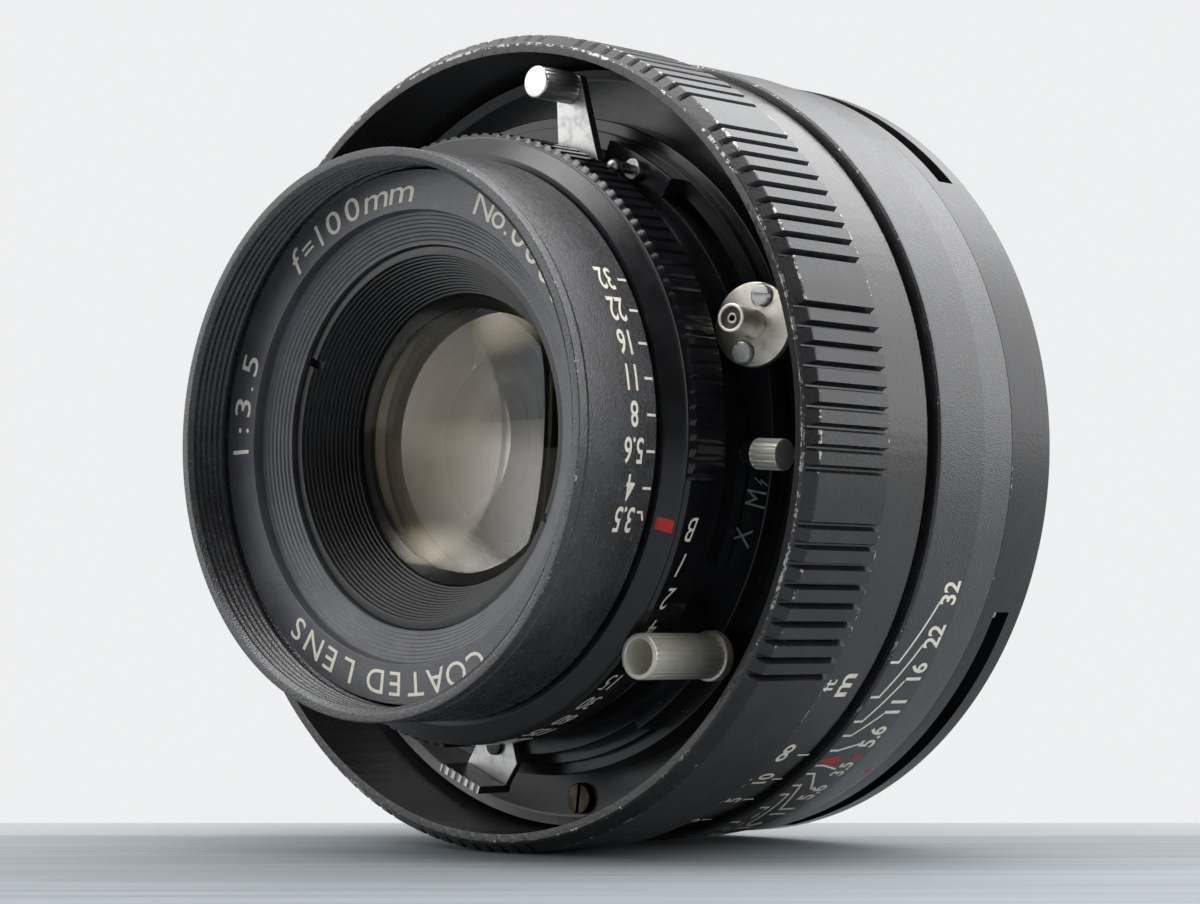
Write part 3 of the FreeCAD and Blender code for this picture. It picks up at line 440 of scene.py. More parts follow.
class Graph:
    """Node tree of one material or of the surroundings, built from expressions."""

    def __init__(self, name: str, surroundings: bool = False) -> None:
        """Start a tree that holds only its output."""
        kind = bpy.data.worlds if surroundings else bpy.data.materials
        self.owner = kind.new(name)
        self.owner.use_nodes = True
        self.tree = self.owner.node_tree
        self.tree.nodes.clear()
        ending = "ShaderNodeOutputWorld" if surroundings else "ShaderNodeOutputMaterial"
        self.output = self.tree.nodes.new(ending)

    def node(self, kind: str, settings: Optional[Dict[str, object]] = None,
             inputs: Optional[Dict[object, object]] = None) -> bpy.types.Node:
        """Add a node.

        Args:
            kind: Type of the node.
            settings: Properties that are set first; "stops" fills a colour ramp.
            inputs: Values, colours or signals by socket name or number.

        Returns:
            The new node.
        """
        made = self.tree.nodes.new(kind)
        for key, value in (settings or {}).items():
            if key != "stops":
                setattr(made, key, value)
                continue
            ramp = made.color_ramp
            while len(ramp.elements) < len(value):
                ramp.elements.new(0.5)
            for element, (position, colour) in zip(ramp.elements, value):
                element.position = position
                element.color = (*colour, 1.0)
        for key, value in (inputs or {}).items():
            socket = made.inputs[key]
            if isinstance(value, Signal):
                self.tree.links.new(value.socket, socket)
            elif isinstance(value, tuple) and len(value) == 3 and socket.type == "RGBA":
                socket.default_value = (*value, 1.0)
            else:
                socket.default_value = value
        return made

    def signal(self, kind: str, settings: Optional[Dict[str, object]] = None,
               inputs: Optional[Dict[object, object]] = None,
               output: Union[int, str] = 0) -> Signal:
        """Add a node and return one of its outputs."""
        return Signal(self, self.node(kind, settings, inputs).outputs[output])

    def position(self) -> Signal:
        """Object coordinates in millimetres."""
        place = self.signal("ShaderNodeTexCoord", output="Object")
        return self.signal("ShaderNodeVectorMath", {"operation": "SCALE"},
                           {0: place, "Scale": 1.0 / MM})

    def axes(self, vector: Signal) -> Tuple[Signal, Signal, Signal]:
        """The three parts of a vector."""
        split = self.node("ShaderNodeSeparateXYZ", None, {0: vector})
        return tuple(Signal(self, out) for out in split.outputs)

    def vector(self, x: Value, y: Value, z: Value) -> Signal:
        """Vector from three values."""
        return self.signal("ShaderNodeCombineXYZ", None, {0: x, 1: y, 2: z})

    def stretched(self, vector: Signal, scale: Tuple[float, float, float]) -> Signal:
        """Vector scaled by a different amount on each axis."""
        return self.signal("ShaderNodeVectorMath", {"operation": "MULTIPLY"},
                           {0: vector, 1: scale})

    def noise(self, vector: Signal, scale: float, detail: float = 2.0,
              rough: float = 0.5) -> Signal:
        """Noise between 0 and 1 with a scale in features per millimetre."""
        return self.signal("ShaderNodeTexNoise", None,
                           {"Vector": vector, "Scale": scale, "Detail": detail,
                            "Roughness": rough})

    def specks(self, vector: Signal, scale: float, share: float) -> Signal:
        """Small round specks: 1 inside a speck, 0 elsewhere.

        Args:
            vector: Coordinates in millimetres.
            scale: Cells per millimetre.
            share: Radius of a speck as a share of its cell.

        Returns:
            The mask.
        """
        cells = self.signal("ShaderNodeTexVoronoi", None, {"Vector": vector, "Scale": scale},
                            "Distance")
        return cells.rise(share, share * 0.5)

    def mix(self, share: Value, first: object, second: object) -> Signal:
        """Colour between two colours."""
        return self.signal("ShaderNodeMix", {"data_type": "RGBA"},
                           {0: share, 6: first, 7: second}, 2)

    def bump(self, height: Signal, distance: float, strength: float = 1.0) -> Signal:
        """Normal from a height; the distance is in millimetres."""
        return self.signal("ShaderNodeBump", None,
                           {"Height": height, "Distance": distance * MM, "Strength": strength})

    def surface(self, inputs: Dict[object, object]) -> bpy.types.Material:
        """Finish the material with one Principled shader."""
        shader = self.node("ShaderNodeBsdfPrincipled", None, inputs)
        self.tree.links.new(shader.outputs[0], self.output.inputs[0])
        return self.owner


# ---------------------------------------------------------------- finishes
@dataclass(frozen=True)
class Paint:
    """Black paint on aluminium, with grain, dust, worn edges, painted glint highlights and a
    painted sheen on a smooth band.

    Worn edges are bands given as (radius, depth) corners of the piece, in millimetres.
    """

    name: str
    colour: Colour = (0.020, 0.020, 0.021)
    rough: float = 0.35
    grain: float = 0.0
    grain_scale: float = 5.0
    coat: float = 0.0
    edges: Tuple[Tuple[float, float], ...] = ()
    wear: float = 0.5
    reach: float = 0.22
    dust: float = 0.3
    painted_glints: float = 0.0
    smooth_sheen_below: float = 0.0
    ior: float = 1.5

    def material(self) -> bpy.types.Material:
        """Build the paint's material."""
        g = Graph(self.name)
        place = g.position()
        x, y, z = g.axes(place)
        radius = (x * x + z * z).sqrt()
        depth = y + LENGTH
        cloud = g.noise(place, 0.22, 3.0, 0.6)
        smear = g.noise(g.stretched(place, (0.5, 2.5, 0.5)), 0.9, 3.0, 0.65)
        rough = self.rough + (cloud - 0.5) * 0.10 + (smear - 0.5) * 0.14
        colour = g.mix(cloud.rise(0.35, 0.7), self.colour,
                       tuple(1.5 * part + 0.002 for part in self.colour))
        motes = g.specks(place, 1.15, 0.075) * cloud.rise(0.5, 0.62) * self.dust
        colour = g.mix(motes, colour, (0.30, 0.29, 0.27))
        metal: Value = 0.0
        if self.painted_glints:
            # Painted highlight: light grey specks in the base colour stand for glints of light off
            # the speckled paint.
            glint_highlight_mask = g.specks(place, 3.6, 0.30) * g.noise(place, 1.3, 2.0).rise(0.42, 0.66)
            colour = g.mix(glint_highlight_mask * self.painted_glints, colour, (0.16, 0.16, 0.17))
        if self.smooth_sheen_below:
            # Below this radius the paint is smoother, and its colour is lifted as a painted sheen
            # standing for the band's lighter reflection.
            band = radius.rise(self.smooth_sheen_below + 0.1, self.smooth_sheen_below)
            rough = rough - band * 0.10
            colour = g.mix(band * 0.6, colour, (0.042, 0.040, 0.038))
        if self.edges:
            chips = g.noise(place, 1.7, 4.0, 0.7) + (g.noise(place, 0.16, 2.0) - 0.5) * 0.7
            worn: Value = 0.0
            for edge_radius, edge_depth in self.edges:
                away = ((radius - edge_radius) ** 2.0 + (depth - edge_depth) ** 2.0).sqrt()
                near = away.rise(self.reach, self.reach * 0.25)
                worn = near.most(worn) if isinstance(worn, float) else worn.most(near)
            bare = (chips + worn * 0.35).rise(1.08 - self.wear * 0.28, 1.13 - self.wear * 0.28)
            bare = bare * worn
            colour = g.mix(bare, colour, (0.42, 0.40, 0.37))
            rough = rough + bare * 0.12
            metal = bare * 0.85
        inputs: Dict[object, object] = {
            "Base Color": colour, "Roughness": rough, "Metallic": metal,
            "Coat Weight": self.coat, "Coat Roughness": 0.12, "IOR": self.ior}
        if self.grain:
            height = g.noise(place, self.grain_scale, 1.0, 0.5)
            inputs["Normal"] = g.bump(height, self.grain)
        return g.surface(inputs)


@dataclass(frozen=True)
class Metal:
    """Bare or plated metal with tarnish and fine scratches."""

    name: str
    colour: Colour
    tarnish: Colour
    rough: float = 0.28
    spots: float = 0.5
    scratch: float = 0.004

    def material(self) -> bpy.types.Material:
        """Build the metal's material."""
        g = Graph(self.name)
        place = g.position()
        stain = g.noise(place, 0.8, 4.0, 0.65).rise(0.42, 0.72) * self.spots
        pits = g.specks(place, 2.3, 0.16) * self.spots
        lines = g.noise(g.stretched(place, (9.0, 0.7, 9.0)), 1.0, 2.0, 0.6)
        colour = g.mix(stain.most(pits), self.colour, self.tarnish)
        rough = self.rough + stain * 0.22 + (lines - 0.5) * 0.12
        return g.surface({"Base Color": colour, "Roughness": rough, "Metallic": 1.0,
                          "Normal": g.bump(lines, self.scratch)})


@dataclass(frozen=True)
class Ink:
    """Paint that fills an engraved mark, with thin places."""

    name: str
    colour: Colour
    faded: Colour

    def material(self) -> bpy.types.Material:
        """Build the ink's material."""
        g = Graph(self.name)
        place = g.position()
        thin = g.noise(place, 2.6, 3.0, 0.6).rise(0.52, 0.78)
        return g.surface({"Base Color": g.mix(thin, self.colour, self.faded),
                          "Roughness": 0.55 + thin * 0.2,
                          "Normal": g.bump(g.noise(place, 9.0), 0.01)})


@dataclass(frozen=True)
class Glass:
    """Coated optical glass with a little dust."""

    name: str
    ior: float = 1.52
    tint: Colour = (0.985, 0.975, 0.955)

    def material(self) -> bpy.types.Material:
        """Build the glass material."""
        g = Graph(self.name)
        place = g.position()
        haze = g.specks(place, 0.9, 0.05) * 0.25
        return g.surface({"Base Color": self.tint, "Roughness": haze, "IOR": self.ior,
                          "Transmission Weight": 1.0,
                          "Specular Tint": (0.55, 0.46, 0.32, 1.0)})


@dataclass(frozen=True)
class Satin:
    """Satin metal of blades and dulled plating, partly diffuse."""

    name: str
    colour: Colour
    shade: Colour
    metal: float = 0.25

    def material(self) -> bpy.types.Material:
        """Build the satin metal's material."""
        g = Graph(self.name)
        place = g.position()
        sweep = g.noise(g.stretched(place, (0.15, 1.0, 0.15)), 1.0, 2.0)
        return g.surface({"Base Color": g.mix(sweep, self.colour, self.shade),
                          "Metallic": self.metal, "Roughness": 0.30 + sweep * 0.2})


@dataclass(frozen=True)
class Plastic:
    """Moulded insulator."""

    name: str
    colour: Colour

    def material(self) -> bpy.types.Material:
        """Build the insulator's material."""
        g = Graph(self.name)
        place = g.position()
        mottle = g.noise(place, 3.0, 2.0)
        return g.surface({"Base Color": g.mix(mottle, self.colour,
                                              tuple(0.6 * part for part in self.colour)),
                          "Roughness": 0.4 + mottle * 0.15})


# ---------------------------------------------------------------- finished pieces
Maker = Union[Paint, Metal, Ink, Glass, Satin, Plastic]
_MADE: Dict[str, bpy.types.Material] = {}


def dressed(finish: Maker) -> bpy.types.Material:
    """Material of a finish, made once."""
    if finish.name not in _MADE:
        _MADE[finish.name] = finish.material()
    return _MADE[finish.name]


def piece(name: str, mesh: bmesh.types.BMesh, finish: Maker, body: str,
          replaces: Sequence[str] = (), sharp: float = 38.0) -> bpy.types.Object:
    """Turn a shape in millimetres into a finished piece.

    Args:
        name: Name of the piece.
        mesh: Its shape, which is freed.
        finish: Its finish.
        body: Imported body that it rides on.
        replaces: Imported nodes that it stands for.
        sharp: Angle in degrees past which an edge stays sharp.

    Returns:
        The new object.
    """
    bmesh.ops.scale(mesh, vec=(MM, MM, MM), verts=mesh.verts)
    data = bpy.data.meshes.new(name)
    mesh.to_mesh(data)
    mesh.free()
    data.materials.append(dressed(finish))
    data.shade_smooth()
    data.set_sharp_from_angle(angle=math.radians(sharp))
    made = bpy.data.objects.new(name, data)
    bpy.context.scene.collection.objects.link(made)
    weighted = made.modifiers.new("even_normals", "WEIGHTED_NORMAL")
    weighted.keep_sharp = True
    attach(made, body)
    if replaces:
        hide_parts(*replaces)
    LOG.info("%s rides on %s, %d faces", name, body, len(data.polygons))
    return made


SATIN = Paint("satin_paint", rough=0.34, grain=0.045, grain_scale=4.5, dust=0.5)
# Face, barrel and scale paints carry painted glint highlights in their colour.
FACE_PAINT = Paint("face_paint", (0.048, 0.049, 0.055), 0.38, 0.05, 6.0, dust=0.8,
                   painted_glints=0.6, ior=1.7)
BARREL = Paint("barrel_paint", (0.024, 0.024, 0.025), 0.27, 0.06, 6.0, dust=0.5,
               painted_glints=1.0, ior=1.7,
               edges=((28.45, 0.05), (28.4, 10.85)), wear=0.25, reach=0.3)
BOWL = Paint("bowl_paint", (0.012, 0.012, 0.013), 0.30, 0.01, 2.5, dust=0.8)
# Painted sheen: the grip's smooth band below its ridges is lighter in colour.
GRIP = Paint("grip_paint", (0.011, 0.011, 0.012), 0.25, 0.02, 2.6, dust=0.7,
             smooth_sheen_below=41.1,
             edges=((42.1, 18.7), (42.1, 29.4), (41.0, 17.35), (41.0, 37.1)), wear=0.62,
             reach=0.45)
SCALE_PAINT = Paint("scale_paint", (0.012, 0.012, 0.013), 0.30, 0.05, 6.0, dust=0.5,
                    painted_glints=0.6, ior=1.65,
                    edges=((41.6, 38.1),), wear=0.4, reach=0.4)
FLANGE = Paint("flange_paint", (0.008, 0.008, 0.009), 0.30, 0.02, 3.0, dust=0.7,
               edges=((41.2, 50.9), (41.2, 57.4)), wear=0.45, reach=0.4)
DARK_STEEL = Metal("dark_spring_steel", (0.20, 0.20, 0.20), (0.08, 0.08, 0.08), 0.25, 0.5)
GLOSS = Paint("gloss_paint", (0.008, 0.008, 0.009), 0.22, 0.006, 2.5, dust=0.5)
MATT = Paint("matt_paint", (0.006, 0.006, 0.006), 0.62, 0.03, 5.0, dust=0.3)
RIDGED = Paint("ridged_black", (0.007, 0.007, 0.007), 0.30, 0.004, 3.0, dust=0.15)
NICKEL = Metal("tarnished_nickel", (0.78, 0.74, 0.66), (0.46, 0.41, 0.32), 0.36, 0.55)
STEEL = Metal("bright_steel", (0.47, 0.47, 0.46), (0.30, 0.29, 0.28), 0.33, 0.55)
BRASS = Metal("turned_brass", (0.72, 0.52, 0.24), (0.34, 0.22, 0.10), 0.3, 0.5)
BLADE = Satin("blade_steel", (0.62, 0.54, 0.41), (0.54, 0.46, 0.35))
RING_GLOSS = Paint("ring_gloss", (0.006, 0.006, 0.007), 0.15, dust=0.5)
SILVER = Metal("worn_silver", (0.68, 0.67, 0.65), (0.44, 0.43, 0.40), 0.30, 0.35)
WORN_NICKEL = Satin("worn_nickel", (0.84, 0.82, 0.75), (0.58, 0.54, 0.44), 0.7)
SCREW_STEEL = Satin("screw_steel", (0.74, 0.74, 0.73), (0.52, 0.52, 0.50), 0.6)
# Painted shade: the plate screws get a steel colour far darker than bare steel, standing for the
# shade of the bowl they sit in.
SHADED_SCREW = Metal("shaded_screw_steel", (0.075, 0.060, 0.045), (0.04, 0.03, 0.02), 0.36, 0.7)
CREAM = Ink("cream_ink", (0.84, 0.79, 0.66), (0.56, 0.52, 0.43))
RED = Ink("red_ink", (0.60, 0.03, 0.02), (0.38, 0.02, 0.015))
GREY = Ink("unfilled_engraving", (0.26, 0.26, 0.26), (0.09, 0.09, 0.09))
CROWN = Glass("coated_crown_glass", 1.62)
FLINT = Glass("coated_flint_glass", 1.58)
TUBE = Plastic("moulded_insulator", (0.10, 0.075, 0.05))


BLADES = 5
THIRD = FULL / 3


def turned(name: str, profile: Profile, steps: int, finish: Maker, body: str, slot: str,
           node: str, sharp: float = 38.0) -> bpy.types.Object:
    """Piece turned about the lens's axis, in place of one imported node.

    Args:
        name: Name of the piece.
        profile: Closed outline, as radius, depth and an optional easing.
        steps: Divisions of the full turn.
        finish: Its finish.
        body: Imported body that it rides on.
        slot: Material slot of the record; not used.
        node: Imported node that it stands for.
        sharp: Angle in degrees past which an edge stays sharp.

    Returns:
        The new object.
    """
    return piece(name, placed(revolve(profile, steps), on_axis()), finish, body, [node],
                 sharp)


def screw(head: Tuple[float, float, float, float], shank: Tuple[float, float, float, int],
          sink: float, place: Matrix) -> bmesh.types.BMesh:
    """Slotted screw.

    Args:
        head: Radius, height, slot width and slot depth.
        shank: Radius, length, easing and steps.
        sink: Depth at which the shank starts inside the head.
        place: Where the screw stands.

    Returns:
        The screw's mesh.
    """
    stem = placed(bar(*shank), Matrix.Translation((0, sink, 0)))
    return placed(joined([slotted_head(*head), stem]), place)


def turn_about(degrees: float) -> Matrix:
    """Turn about the axis that a screw or a knob stands on."""
    return Matrix.Rotation(math.radians(degrees), 4, "Y")


# ---------------------------------------------------------------- lettering
class Reading(Enum):
    """How a line of letters lies on the lens."""

    AROUND = "along the angle, tops towards the front"
    TO_FRONT = "towards the front, tops towards smaller angles"
    FACE = "on a front face, tops outwards"
    INWARD = "on a front face, tops towards the axis"


@dataclass
class Marks:
    """Filled letters and lines of one colour on one surface."""

    reading: Reading
    radius: Radius
    thickness: float = 0.03

    def __post_init__(self) -> None:
        """Start with no marks."""
        self.mesh = bmesh.new()

    def lay(self, flat: bpy.types.Mesh, angle: float, depth: float) -> None:
        """Lay a flat mesh on the surface and free it.

        Args:
            flat: Mesh whose X and Y are along and across the line, in millimetres.
            angle: Angle of its origin.
            depth: Depth of its origin; on a face, the origin's radius comes from it.
        """
        part = bmesh.new()
        part.from_mesh(flat)
        bpy.data.meshes.remove(flat)
        for vert in part.verts:
            u, v, w = vert.co
            if self.reading is Reading.AROUND:
                at, turn = depth - v, u
            elif self.reading is Reading.TO_FRONT:
                at, turn = depth - u, -v
            else:
                sign = -1.0 if self.reading is Reading.FACE else 1.0
                radius = depth - sign * v
                face = self.radius(radius) if callable(self.radius) else self.radius
                vert.co = spot(radius, angle + math.degrees(sign * u / depth), face - w)
                continue
            radius = self.radius(at) if callable(self.radius) else self.radius
            vert.co = spot(radius + w, angle + math.degrees(turn / radius), at)
        bmesh.ops.recalc_face_normals(part, faces=part.faces)
        whole = bpy.data.meshes.new("laid")
        part.to_mesh(whole)
        part.free()
        self.mesh.from_mesh(whole)
        bpy.data.meshes.remove(whole)

    def word(self, text: str, angle: float, depth: float, height: float, narrow: float = 1.0,
             weight: float = 0.0, slant: float = 0.0, gap: float = 1.0) -> None:
        """Write a word centred on a place.

        Args:
            text: The word.
            angle: Angle of its middle.
            depth: Depth of its middle, or its radius on a face.
            height: Height of its tallest letter.
            narrow: Width as a share of the font's own.
            weight: Extra thickness of the strokes, as a share of the size.
            slant: Shear of the letters.
            gap: Spacing of the letters as a share of the font's own.
        """
        curve = bpy.data.curves.new("word", "FONT")
        curve.body = text
        curve.align_x = "CENTER"
        curve.extrude = 0.5
        curve.offset = weight
        curve.space_character = gap
        curve.shear = slant
        curve.resolution_u = 4
        thing = bpy.data.objects.new("word", curve)
        bpy.context.scene.collection.objects.link(thing)
        graph = bpy.context.evaluated_depsgraph_get()
        flat = bpy.data.meshes.new_from_object(thing.evaluated_get(graph))
        bpy.data.objects.remove(thing)
        bpy.data.curves.remove(curve)
        tops = [vert.co.y for vert in flat.vertices]
        scale = height / (max(tops) - min(tops))
        middle = (max(tops) + min(tops)) / 2
        flat.transform(Matrix.Translation((0, -middle, 0)))
        flat.transform(Matrix.Diagonal((scale * narrow, scale, self.thickness, 1)))
        self.lay(self.striped(flat), angle, depth)

    def striped(self, flat: bpy.types.Mesh) -> bpy.types.Mesh:
        """Cut a flat mesh into narrow strips across the way that the surface curves."""
        across = Vector((0, 1, 0)) if self.reading is Reading.TO_FRONT else Vector((1, 0, 0))
        part = bmesh.new()
        part.from_mesh(flat)
        reach = max(abs(vert.co.dot(across)) for vert in part.verts)
        for i in range(-int(reach / STRIP), int(reach / STRIP) + 1):
            bmesh.ops.bisect_plane(part, geom=part.verts[:] + part.edges[:] + part.faces[:],
                                   plane_co=across * (i + 0.013) * STRIP, plane_no=across)
        part.to_mesh(flat)
        part.free()
        return flat

    def line(self, points: Sequence[Tuple[float, float]], width: float) -> None:
        """Draw a line through (angle, depth) points; on a face, depth is the radius.

        Args:
            points: Corners of the line.
            width: Width of the line in millimetres.
        """
        for (a0, d0), (a1, d1) in zip(points, points[1:]):
            mean = (d0 + d1) / 2
            if self.reading in (Reading.AROUND, Reading.TO_FRONT):
                around = self.radius(mean) if callable(self.radius) else self.radius
            else:
                around = mean
            along = math.radians(a1 - a0) * around
            across = d1 - d0
            if self.reading is Reading.AROUND:
                run = Vector((along, -across, 0))
            elif self.reading is Reading.TO_FRONT:
                run = Vector((-across, -along, 0))
            elif self.reading is Reading.FACE:
                run = Vector((-along, across, 0))
            else:
                run = Vector((along, -across, 0))
            stroke = block((run.length + width * 0.9, width, self.thickness))
            bmesh.ops.subdivide_edges(stroke, edges=stroke.edges[:], cuts=3,
                                      use_grid_fill=True)
            turn = Matrix.Rotation(math.atan2(run.y, run.x), 4, "Z")
            bmesh.ops.transform(stroke, matrix=turn, verts=stroke.verts)
            flat = bpy.data.meshes.new("stroke")
            stroke.to_mesh(flat)
            stroke.free()
            self.lay(flat, (a0 + a1) / 2, mean)

    def dot(self, angle: float, depth: float, radius: float) -> None:
        """Round dot."""
        disc = bmesh.new()
        bmesh.ops.create_cone(disc, cap_ends=True, segments=20, radius1=radius,
                              radius2=radius, depth=self.thickness)
        flat = bpy.data.meshes.new("dot")
        disc.to_mesh(flat)
        disc.free()
        self.lay(flat, angle, depth)

    def piece(self, name: str, finish: Maker, body: str, slot: str = "satin_black") -> None:
        """Finish the marks as one piece."""
        piece(name, self.mesh, finish, body)


NODE_FINISHES: Dict[str, Maker] = {
    "focus_helicoid": BRASS, "helicoid_retainer": BRASS, "carriage_helicoid": BRASS,
    "rangefinder_cam": BRASS, "iris_ring": BRASS, "blade_ring": BRASS,
    "helicoid_lock_ring": MATT, "case_nut": MATT, "terminal_bracket": MATT,
    "second_retainer": MATT, "blade_plate": MATT,
    "guide_keys": STEEL, "key_screws": STEEL, "aperture_drive_pin": STEEL,
}
NODE_FINISHES.update({f"{kind}_blade_{number}": BLADE
                      for kind in ("shutter", "iris") for number in range(1, BLADES + 1)})


# ---------------------------------------------------------------- front barrel and rings

@dataclass
class FrontBarrel:
    """Aperture ring that carries the filter thread and the f-numbers."""

    rim: float = 28.5
    crest: float = 27.1
    thread_end: float = 4.6
    thread_pitch: float = 0.75
    thread_depth: float = 0.22
    thread_turns: int = 5
    rear: float = Extent.of("aperture_ring").rear
    numbers: Tuple[Tuple[str, float], ...] = (
        ("32", 30.0), ("22", 23.1), ("16", 16.2), ("11", 9.2), ("8", 2.1), ("5.6", -4.9),
        ("4", -12.0), ("3.5", -16.7))

    def build(self) -> None:
        """Make the barrel and its scale."""
        profile: List[Tuple[float, ...]] = [
            (self.crest + 0.5, 0.0, 0.08), (self.rim - 0.05, 0.0, 0.12), (self.rim, 1.05, 0.05),
            (self.rim - 0.14, 1.2), (self.rim, 1.35, 0.05), (self.rim, self.rear, 0.3),
            (25.2, self.rear), (25.2, self.rear - 1.1), (self.crest, self.rear - 1.1),
            (self.crest, 5.5), (self.crest + 0.45, 5.3), (self.crest + 0.45, self.thread_end),
            (self.crest, self.thread_end)]
        root = self.crest + self.thread_depth
        for i in range(self.thread_turns):
            d = self.thread_end - 0.4 - i * self.thread_pitch
            profile += [(self.crest, d), (root, d - 0.2), (root, d - 0.35),
                        (self.crest, d - 0.55)]
        profile.append((self.crest, 0.4))
        turned("front_barrel", profile, 256, BARREL, "aperture", "satin_black",
               "aperture_ring")
        self.scale()

    def scale(self) -> None:
        """Engrave the f-numbers and their ticks."""
        marks = Marks(Reading.TO_FRONT, self.rim)
        for text, angle in self.numbers:
            last = text == "3.5"
            marks.word(text, angle - (1.6 if last else 0.0), 7.6, 2.55, 0.66, 0.012)
            if last:
                marks.line([(angle, 9.35), (angle, 9.9), (angle - 1.4, 10.2)], 0.24)
            else:
                marks.line([(angle, 9.5), (angle, 10.45)], 0.26)
        marks.piece("aperture_scale", CREAM, "aperture")


@dataclass
class FrontRings:
    """Lettered name ring and the ridged ring around the front glass."""

    face: float = Extent.of("name_ring").front
    outer: float = 26.8
    lip: float = 22.6
    bore: float = 19.45
    steps: int = 8
    ridge_outer: float = Extent.of("front_baffle_ring").radius
    ridge_bore: float = 14.9
    ridge_front: float = 7.75
    ridge_rear: float = 12.9
    ridges: int = 14
    middle: float = 24.75
    tall: float = 2.4
    slant: float = 0.18
    signs: Tuple[Tuple[str, Tuple[float, ...]], ...] = (
        ("f=100mm", (131.6, 125.8, 121.0, 115.4, 108.4, 100.6, 91.8)),
        ("No.0000", (63.2, 57.6, 54.0, 49.8, 43.6, 37.4, 31.2)),
        ("1:3.5", (181.5, 176.2, 170.6, 165.6, 160.0)))

    def build(self) -> None:
        """Make both rings and the lettering."""
        deep, shallow = self.face + 2.4, self.face + 0.9
        profile: List[Tuple[float, ...]] = [
            (self.outer, self.face, 0.1), (self.outer, 6.3), (26.3, 6.3), (26.3, 7.9),
            (self.bore, 7.9), (self.bore, deep)]
        width = (self.lip - self.bore) / self.steps
        drop = (deep - shallow) / self.steps
        for i in range(self.steps):
            r, d = self.bore + width * i, deep - drop * i
            profile += [(r + 0.12, d, 0.03), (r + width, d - 0.02, 0.03)]
        profile += [(self.lip, 5.6), (self.lip + 0.15, self.face, 0.06)]
        turned("lettered_ring", profile, 240, FACE_PAINT, "carriage", "satin_black",
               "name_ring", 25.0)
        self.ridged_ring()
        self.lettering()

    def ridged_ring(self) -> None:
        """Ring of concentric ridges with two spanner notches."""
        rim = 0.7
        profile: List[Tuple[float, ...]] = [
            (self.ridge_outer, self.ridge_front, 0.08), (self.ridge_outer, 13.38),
            (15.6, 13.38), (self.ridge_bore, 12.98)]
        width = (self.ridge_outer - rim - self.ridge_bore) / self.ridges
        rise = (self.ridge_rear - self.ridge_front) / self.ridges
        for i in range(self.ridges):
            r, d = self.ridge_bore + width * i, self.ridge_rear - rise * i
            profile += [(r, d), (r + 0.08, d - rise, 0.05)]
        profile.append((self.ridge_outer - rim, self.ridge_front, 0.05))
        mesh = placed(revolve(profile, 200), on_axis())
        for turn in (153.0, 333.0):
            notch = placed(block((1.9, 1.4, 0.9)), beside(self.ridge_outer - 0.4, turn, 7.9))
            mesh = combined(mesh, notch, "DIFFERENCE")
        piece("ridged_ring", mesh, RIDGED, "carriage", ["front_baffle_ring"], 25.0)

    def lettering(self) -> None:
        """Focal length, opening and generic words on the face."""
        marks = Marks(Reading.FACE, self.face)
        tall = self.tall
        heights = {"f": 2.6, "=": 0.9, "m": 1.6, "o": 1.6, ":": 1.6, ".": 0.34}
        widths = {"0": 1.4, "m": 1.5, "f": 1.2, "3": 1.45, "5": 1.45, "1": 1.1}
        drops = {".": 1.0, "m": 0.4, "o": 0.4, ":": 0.4}
        for letters, angles in self.signs:
            for letter, angle in zip(letters, angles):
                marks.word(letter, angle, self.middle - drops.get(letter, 0.0),
                           heights.get(letter, tall), widths.get(letter, 1.15), 0.002,
                           self.slant if letter in "fm" else 0.0)
        for text, start in (("COATED", -66.0), ("LENS", -109.0)):
            for i, letter in enumerate(text):
                marks.word(letter, start - i * 6.7, self.middle, tall, 1.1, 0.002)
        marks.piece("front_lettering", CREAM, "carriage")


@dataclass
class Optics:
    """Four glass elements: front, second and the rear pair."""

    samples: int = 14

    def build(self) -> None:
        """Make the elements."""
        self.element("front_glass", "front_element", (9.2, 31.0, 15.2, -400.0, 15.6), CROWN)
        self.element("second_glass", "second_element", (18.3, -58.0, 19.9, 27.5, 12.6), FLINT)
        self.element("rear_glass_front", "rear_doublet_front",
                     (35.2, -160.0, 36.59, 32.0, 14.0), FLINT)
        self.element("rear_glass_rear", "rear_doublet_rear",
                     (36.61, 32.0, 42.6, -45.0, 14.0), CROWN)

    def element(self, name: str, node: str, form: Tuple[float, float, float, float, float],
                finish: Glass) -> None:
        """One element.

        Args:
            name: Name of the piece.
            node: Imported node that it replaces.
            form: Front vertex and radius, rear vertex and radius, half diameter.
            finish: Kind of glass.
        """
        front, front_radius, rear, rear_radius, half = form

        def sag(curve: float, height: float) -> float:
            """Depth of a spherical surface behind its vertex."""
            return curve - math.copysign(math.sqrt(curve * curve - height * height), curve)

        heights = [half * i / self.samples for i in range(self.samples + 1)]
        profile = [(h, front + sag(front_radius, h)) for h in heights]
        profile += [(h, rear + sag(rear_radius, h)) for h in reversed(heights)]
        mesh = placed(revolve(profile, 128, closed=False), on_axis())
        piece(name, mesh, finish, "carriage", [node], 25.0)


